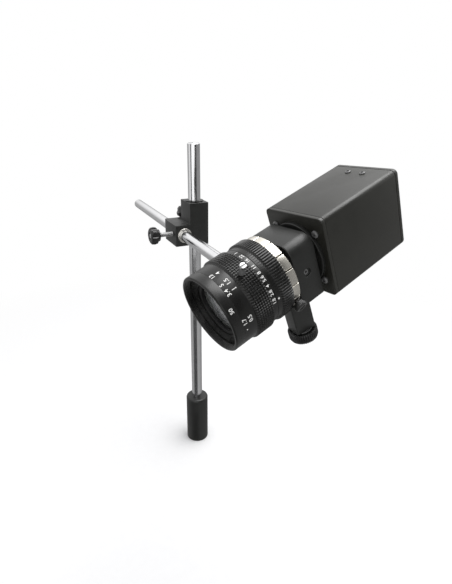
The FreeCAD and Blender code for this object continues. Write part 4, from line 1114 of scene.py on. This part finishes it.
def make_front_rim():
    """The straight rim, with its screw thread inside and a stepped cone down to the glass."""
    low, high, inner, outer = ring_sizes("front_rim", HEAD)
    edge_mm, mouth_mm, pitch_mm, thread_mm, plain_mm = 0.8, 0.5, 1.1, 0.55, 0.2
    thread_r = radii("front_rim", HEAD, high - mouth_mm)[0]
    floor = levels_at("front_rim", HEAD, thread_r)[0]

    def thread(angle, radius, along):
        if abs(radius - thread_r) > 0.01 or not floor + plain_mm < along < high - mouth_mm - plain_mm:
            return radius
        return radius - thread_mm * thread_depth(angle, along, pitch_mm)

    points = [(inner, low), (outer, low, 0.1), (outer, high - edge_mm, 0.2),
              (outer - edge_mm, high, 0.15), (thread_r + mouth_mm, high, 0.15),
              *along_thread(thread_r, high - mouth_mm, floor, pitch_mm, 6)]
    cone_steps, cone_r, cone_low, lip_mm = 5, thread_r - 2, low + 1.3, 0.3
    for index in range(cone_steps):
        share, following = index / cone_steps, (index + 1) / cone_steps
        radius = cone_r + (inner + lip_mm - cone_r) * share
        points.append((radius, floor + (cone_low - floor) * share))
        points.append((radius, floor + (cone_low - floor) * following))
    points.append((inner, cone_low))
    turned("front_rim", "lens_rim", points, HEAD, 240, thread)


def dome(radius, edge, middle, steps=10):
    """Points of a spherical face from its rim to the axis."""
    height = middle - edge
    ball = (radius ** 2 + height ** 2) / (2 * abs(height))
    side = 1 if height > 0 else -1
    points = []
    for step in range(steps + 1):
        size = radius * (1 - step / steps)
        points.append((size, middle - side * (ball - math.sqrt(ball ** 2 - size ** 2))))
    return points


def make_glass(node, name):
    """A glass with spherical faces."""
    low, high, _, radius = ring_sizes(node, HEAD)
    rim_low, rim_high = levels_at(node, HEAD, radius)
    rear = list(reversed(dome(radius, rim_low, low)))
    turned(node, name, rear + dome(radius, rim_high, high), HEAD)


def make_retaining_ring():
    """The ring that holds the front glass, with two notches for a spanner."""
    low, high, inner, outer = ring_sizes("glass_retaining_ring", HEAD)
    rim_low = levels_at("glass_retaining_ring", HEAD, inner)[0]
    middle_r = (inner + outer) / 2
    ring = lathe("retaining_ring", [
        (inner, rim_low), (inner, high, 0.2), (outer, high, 0.2), (outer, low),
        (middle_r, (low + rim_low) / 2),
    ], HEAD)
    notch_x, notch_y, notch_mm = 1.2, 1.4, 0.8
    for side in (-1, 1):
        place = at(HEAD, side * middle_r, 0, 0)
        carve(ring, block(notch_x, notch_y, high - notch_mm, high + PAST_MM, place))
    stand_for(ring, "glass_retaining_ring")


# ---------------------------------------------------------------- painted numbers
MARK_MM = 0.07
STROKE_MM = 0.05
CAPITAL_SHARE = 0.7


def wrapped(mesh, radius, phi_deg, along):
    """Bend a flat mark round the lens, so that it reads from behind with its top to the front."""
    for vertex in mesh.vertices:
        across, upwards, proud = vertex.co / MM
        phi = math.radians(phi_deg) - across / radius
        size = (radius + proud) * MM
        vertex.co = (size * math.sin(phi), size * math.cos(phi), (along + upwards) * MM)


def word_mesh(text, high_mm):
    """A number from the built-in font as a thin raised mesh, centred on the origin."""
    curve = bpy.data.curves.new("word", "FONT")
    curve.body = text
    curve.align_x = "CENTER"
    curve.align_y = "CENTER"
    curve.size = high_mm / CAPITAL_SHARE * MM
    curve.extrude = MARK_MM * MM
    curve.offset = STROKE_MM * MM
    curve.resolution_u = 5
    word = new_object("word", curve)
    bpy.context.view_layer.update()
    graph = bpy.context.evaluated_depsgraph_get()
    mesh = bpy.data.meshes.new_from_object(word.evaluated_get(graph))
    bpy.data.objects.remove(word)
    bpy.data.curves.remove(curve)
    return mesh


def disc_mesh(radius):
    bm = bmesh.new()
    bmesh.ops.create_cone(bm, cap_ends=True, segments=32, radius1=radius * MM, radius2=radius * MM,
                          depth=2 * MARK_MM * MM)
    return mesh_from("dot", bm)


def bar_mesh(wide, high):
    bm = bmesh.new()
    bmesh.ops.create_cube(bm, size=1.0)
    bmesh.ops.scale(bm, vec=(wide * MM, high * MM, 2 * MARK_MM * MM), verts=bm.verts)
    return mesh_from("bar", bm)


def make_marks(name, body, radius, marks):
    """One painted piece from (mesh, phi, along) marks on a ring."""
    bm = bmesh.new()
    for mesh, phi_deg, along in marks:
        wrapped(mesh, radius, phi_deg, along)
        bm.from_mesh(mesh)
    mark_on(piece_from(name, bm, HEAD), body)


# what each mark says and its angle round the lens from the top, in degrees
STOP_STEPS = (("22", 13.8), ("16", 24.9), ("11", 36.9), ("8", 47.1), ("5.6", 56.3), ("4", 67.0),
              ("2.8", 77.4), ("1.8", 89.9))
CLOSED_PHI = 1.6
INDEX_PHI = 90.3
FOCAL_PHI = 66.7
DISTANCES = (("13", "4", 15.0), ("5", "1.5", 33.5), ("3.4", "1", 45.8), ("1.7", "0.5", 89.0))
# each dot's angle and how far it is behind the end of the scale
SCALE_DOTS = ((45.8, 8.2), (102.0, 1.9))
FEET_BACK_MM, METRES_BACK_MM = 1.8, 6.6
INDEX_BACK_MM, FOCAL_FORWARD_MM = 1.95, 3.3
INDEX_R_MM, DOT_R_MM, CLOSED_BAR_MM = 0.75, 0.45, 0.5
STOP_HIGH_MM, DISTANCE_HIGH_MM, FOCAL_HIGH_MM = 2.6, 3.0, 2.8


def make_numbers():
    """Stop numbers, distance numbers, the focal length and the index dot."""
    low, high, _, radius = ring_sizes("aperture_ring", HEAD)
    middle = (low + high) / 2
    stops = [(word_mesh(text, STOP_HIGH_MM), phi, middle) for text, phi in STOP_STEPS]
    stops.append((bar_mesh(CLOSED_BAR_MM, STOP_HIGH_MM), CLOSED_PHI, middle))
    make_marks("stop_numbers", "aperture", radius, stops)
    index = levels("mount_grip_ring", HEAD)[1] - INDEX_BACK_MM
    make_marks("index_dot", "head", radius, [(disc_mesh(INDEX_R_MM), INDEX_PHI, index)])
    scale_r = scale_start()[1]
    end = levels("focus_ring", HEAD)[1]
    for row, name, back in ((0, "feet_numbers", FEET_BACK_MM), (1, "metre_numbers", METRES_BACK_MM)):
        marks = [(word_mesh(step[row], DISTANCE_HIGH_MM), step[2], end - back) for step in DISTANCES]
        make_marks(name, "focus", scale_r, marks)
    dots = [(disc_mesh(DOT_R_MM), phi, end - back) for phi, back in SCALE_DOTS]
    make_marks("scale_dots", "focus", scale_r, dots)
    low, _, _, rim_r = ring_sizes("front_rim", HEAD)
    focal = [(word_mesh("50", FOCAL_HIGH_MM), FOCAL_PHI, low + FOCAL_FORWARD_MM)]
    make_marks("focal_length", "optics", rim_r, focal)


# ---------------------------------------------------------------- stage, light and camera
CAMERA_AT = Vector((0.5175, -0.2141, 0.5022))
CAMERA_RIGHT = Vector((0.44667, 0.89457, 0.01521))
CAMERA_UP = Vector((-0.36344, 0.16589, 0.91673))
CAMERA_BACK = CAMERA_RIGHT.cross(CAMERA_UP)
CAMERA_LENS_MM = 34.015
LIGHT_AT = Vector((0.15, 0.35, 1.5))
LIGHT_TARGET = Vector((0.15, -0.02, 0.3))
LIGHT_WIDE_M = 1.1
LIGHT_WATTS = 14
FLOOR_HALF_M = 3.0
WHITE = even(1.0)
# what shiny parts see round the horizon: degrees from the camera towards its right, brightness
LEVEL_BANDS = (
    (-180, 0.42), (-96, 0.42), (-92, 0.85), (-60, 0.85), (-56, 0.06), (-40, 0.06), (-36, 1.25),
    (18, 1.25), (23, 0.05), (50, 0.05), (56, 0.28), (120, 0.28), (180, 0.36),
)
# and below it, where the floor would be
LOW_BANDS = (
    (-180, 0.35), (-62, 0.35), (-52, 0.07), (16, 0.07), (23, 0.38), (66, 0.38), (120, 0.28), (180, 0.3),
)


def along_axis(tree, direction, axis):
    """How far a direction goes along the level part of an axis."""
    return vector_maths(tree, "DOT_PRODUCT", direction, Vector((axis.x, axis.y, 0)).normalized())


def bands_of(tree, direction, bands):
    """Light and dark bands by the bearing round the horizon, the camera's side in the middle."""
    right, back = along_axis(tree, direction, CAMERA_RIGHT), along_axis(tree, direction, CAMERA_BACK)
    bearing = ramp(tree, maths(tree, "ARCTAN2", right, back), -math.pi, math.pi)
    node = new_node(tree, "ShaderNodeValToRGB", {"Fac": bearing})
    stops = node.color_ramp.elements
    while len(stops) < len(bands):
        stops.new(0.5)
    for stop, (degrees, bright) in zip(stops, bands):
        stop.position = degrees / 360 + 0.5
        stop.color = (bright, bright, bright, 1)
    return node.outputs[0]


def make_world():
    """White behind the object; bands of light and dark round it for the shiny parts."""
    world = bpy.data.worlds.new("studio")
    world.use_nodes = True
    world.cycles.sampling_method = "NONE"
    bpy.context.scene.world = world
    tree = world.node_tree
    tree.nodes.clear()
    direction = position(tree, "Generated")
    height = new_node(tree, "ShaderNodeSeparateXYZ", {0: direction}).outputs[2]
    level, low = bands_of(tree, direction, LEVEL_BANDS), bands_of(tree, direction, LOW_BANDS)
    around = blend_colours(tree, ramp(tree, height, -0.29, -0.22), low, level)
    near_side = ramp(tree, along_axis(tree, direction, CAMERA_BACK), -0.15, 0.15)
    heights = {0: near_side, 2: ramp(tree, height, 0.0, 0.35), 3: ramp(tree, height, 0.82, 0.93)}
    high_up = new_node(tree, "ShaderNodeMix", heights).outputs[0]
    shiny = blend_colours(tree, high_up, around, even(1.1))
    soft = blend_colours(tree, ramp(tree, height, -0.2, 0.9), (0.24, 0.24, 0.23), (0.95, 0.95, 0.97))
    path = new_node(tree, "ShaderNodeLightPath").outputs
    seen = blend_colours(tree, path["Is Glossy Ray"], soft, shiny)
    seen = blend_colours(tree, path["Is Camera Ray"], seen, WHITE)
    background = new_node(tree, "ShaderNodeBackground", {"Color": seen, "Strength": 1.0})
    output = new_node(tree, "ShaderNodeOutputWorld")
    tree.links.new(background.outputs[0], output.inputs["Surface"])


def make_floor():
    """A wide pale floor that fades into the white background, and that shiny parts look past."""
    bm = bmesh.new()
    bmesh.ops.create_grid(bm, x_segments=1, y_segments=1, size=FLOOR_HALF_M)
    floor = new_object("floor", mesh_from("floor", bm))
    floor.visible_glossy = False
    pale = finish("pale_floor", even(0.86), 0.8, 0, SAWN, 0.02, 0.01, specular=0.2)
    tree = pale.node_tree
    away = ramp(tree, vector_maths(tree, "LENGTH", position(tree)), 0.25, 0.8)
    white = new_node(tree, "ShaderNodeEmission", {"Color": WHITE}).outputs[0]
    near = tree.nodes["Principled BSDF"].outputs[0]
    surface = new_node(tree, "ShaderNodeMixShader", {0: away, 1: near, 2: white}).outputs[0]
    feed(tree, tree.nodes["Material Output"], {"Surface": surface})
    floor.data.materials.append(pale)


def make_light():
    data = bpy.data.lights.new("overhead", "AREA")
    data.shape = "DISK"
    data.size = LIGHT_WIDE_M
    data.energy = LIGHT_WATTS
    light = new_object("overhead", data)
    light.location = LIGHT_AT
    light.rotation_euler = (LIGHT_TARGET - LIGHT_AT).to_track_quat("-Z", "Y").to_euler()


def make_camera():
    data = bpy.data.cameras.new("camera")
    data.lens = CAMERA_LENS_MM
    data.sensor_width = 36
    data.sensor_fit = "HORIZONTAL"
    data.clip_start = 0.01
    camera = new_object("camera", data)
    turn = Matrix((CAMERA_RIGHT, CAMERA_UP, CAMERA_BACK)).transposed().to_4x4()
    camera.matrix_world = Matrix.Translation(CAMERA_AT) @ turn
    bpy.context.scene.camera = camera


# ---------------------------------------------------------------- build
make_foot()
make_foot_screws()
make_post()
make_clamp()
make_post_bush()
make_rod_bush()
make_lock("post_lock")
make_lock("rod_lock")
make_cross_rod()
make_arm_block()
make_camera_knob()
make_camera_screw()
plain_ring("camera_knob_washer", "knob_washer", ARM, 96, 0.25, 0.25, 0.1)
make_adapter()
make_neck()
make_shell()
make_front_plate()
make_rear_cover()
make_button_screws("front_plate_screws", (0, 0, 1))
make_button_screws("rear_cover_screws", (0, 0, -1))
make_button_screws("top_screws", (0, 1, 0))
make_video_socket()
make_power_socket()
make_lamp()
plain_ring("back_focus_ring", "focus_shim", HEAD, 144, 0.25, 0.25)
make_mount_ring()
make_grip_ring()
make_thumb_screw()
plain_ring("aperture_ring", "stop_ring", HEAD, 180, 0.3, 0.3)
make_focus_ring()
make_focus_screw()
make_cell()
make_front_rim()
make_glass("front_glass", "front_lens")
make_glass("rear_glass", "rear_lens")
make_retaining_ring()
make_numbers()
bpy.context.scene.view_settings.view_transform = "Standard"
make_world()
make_floor()
make_light()
make_camera()
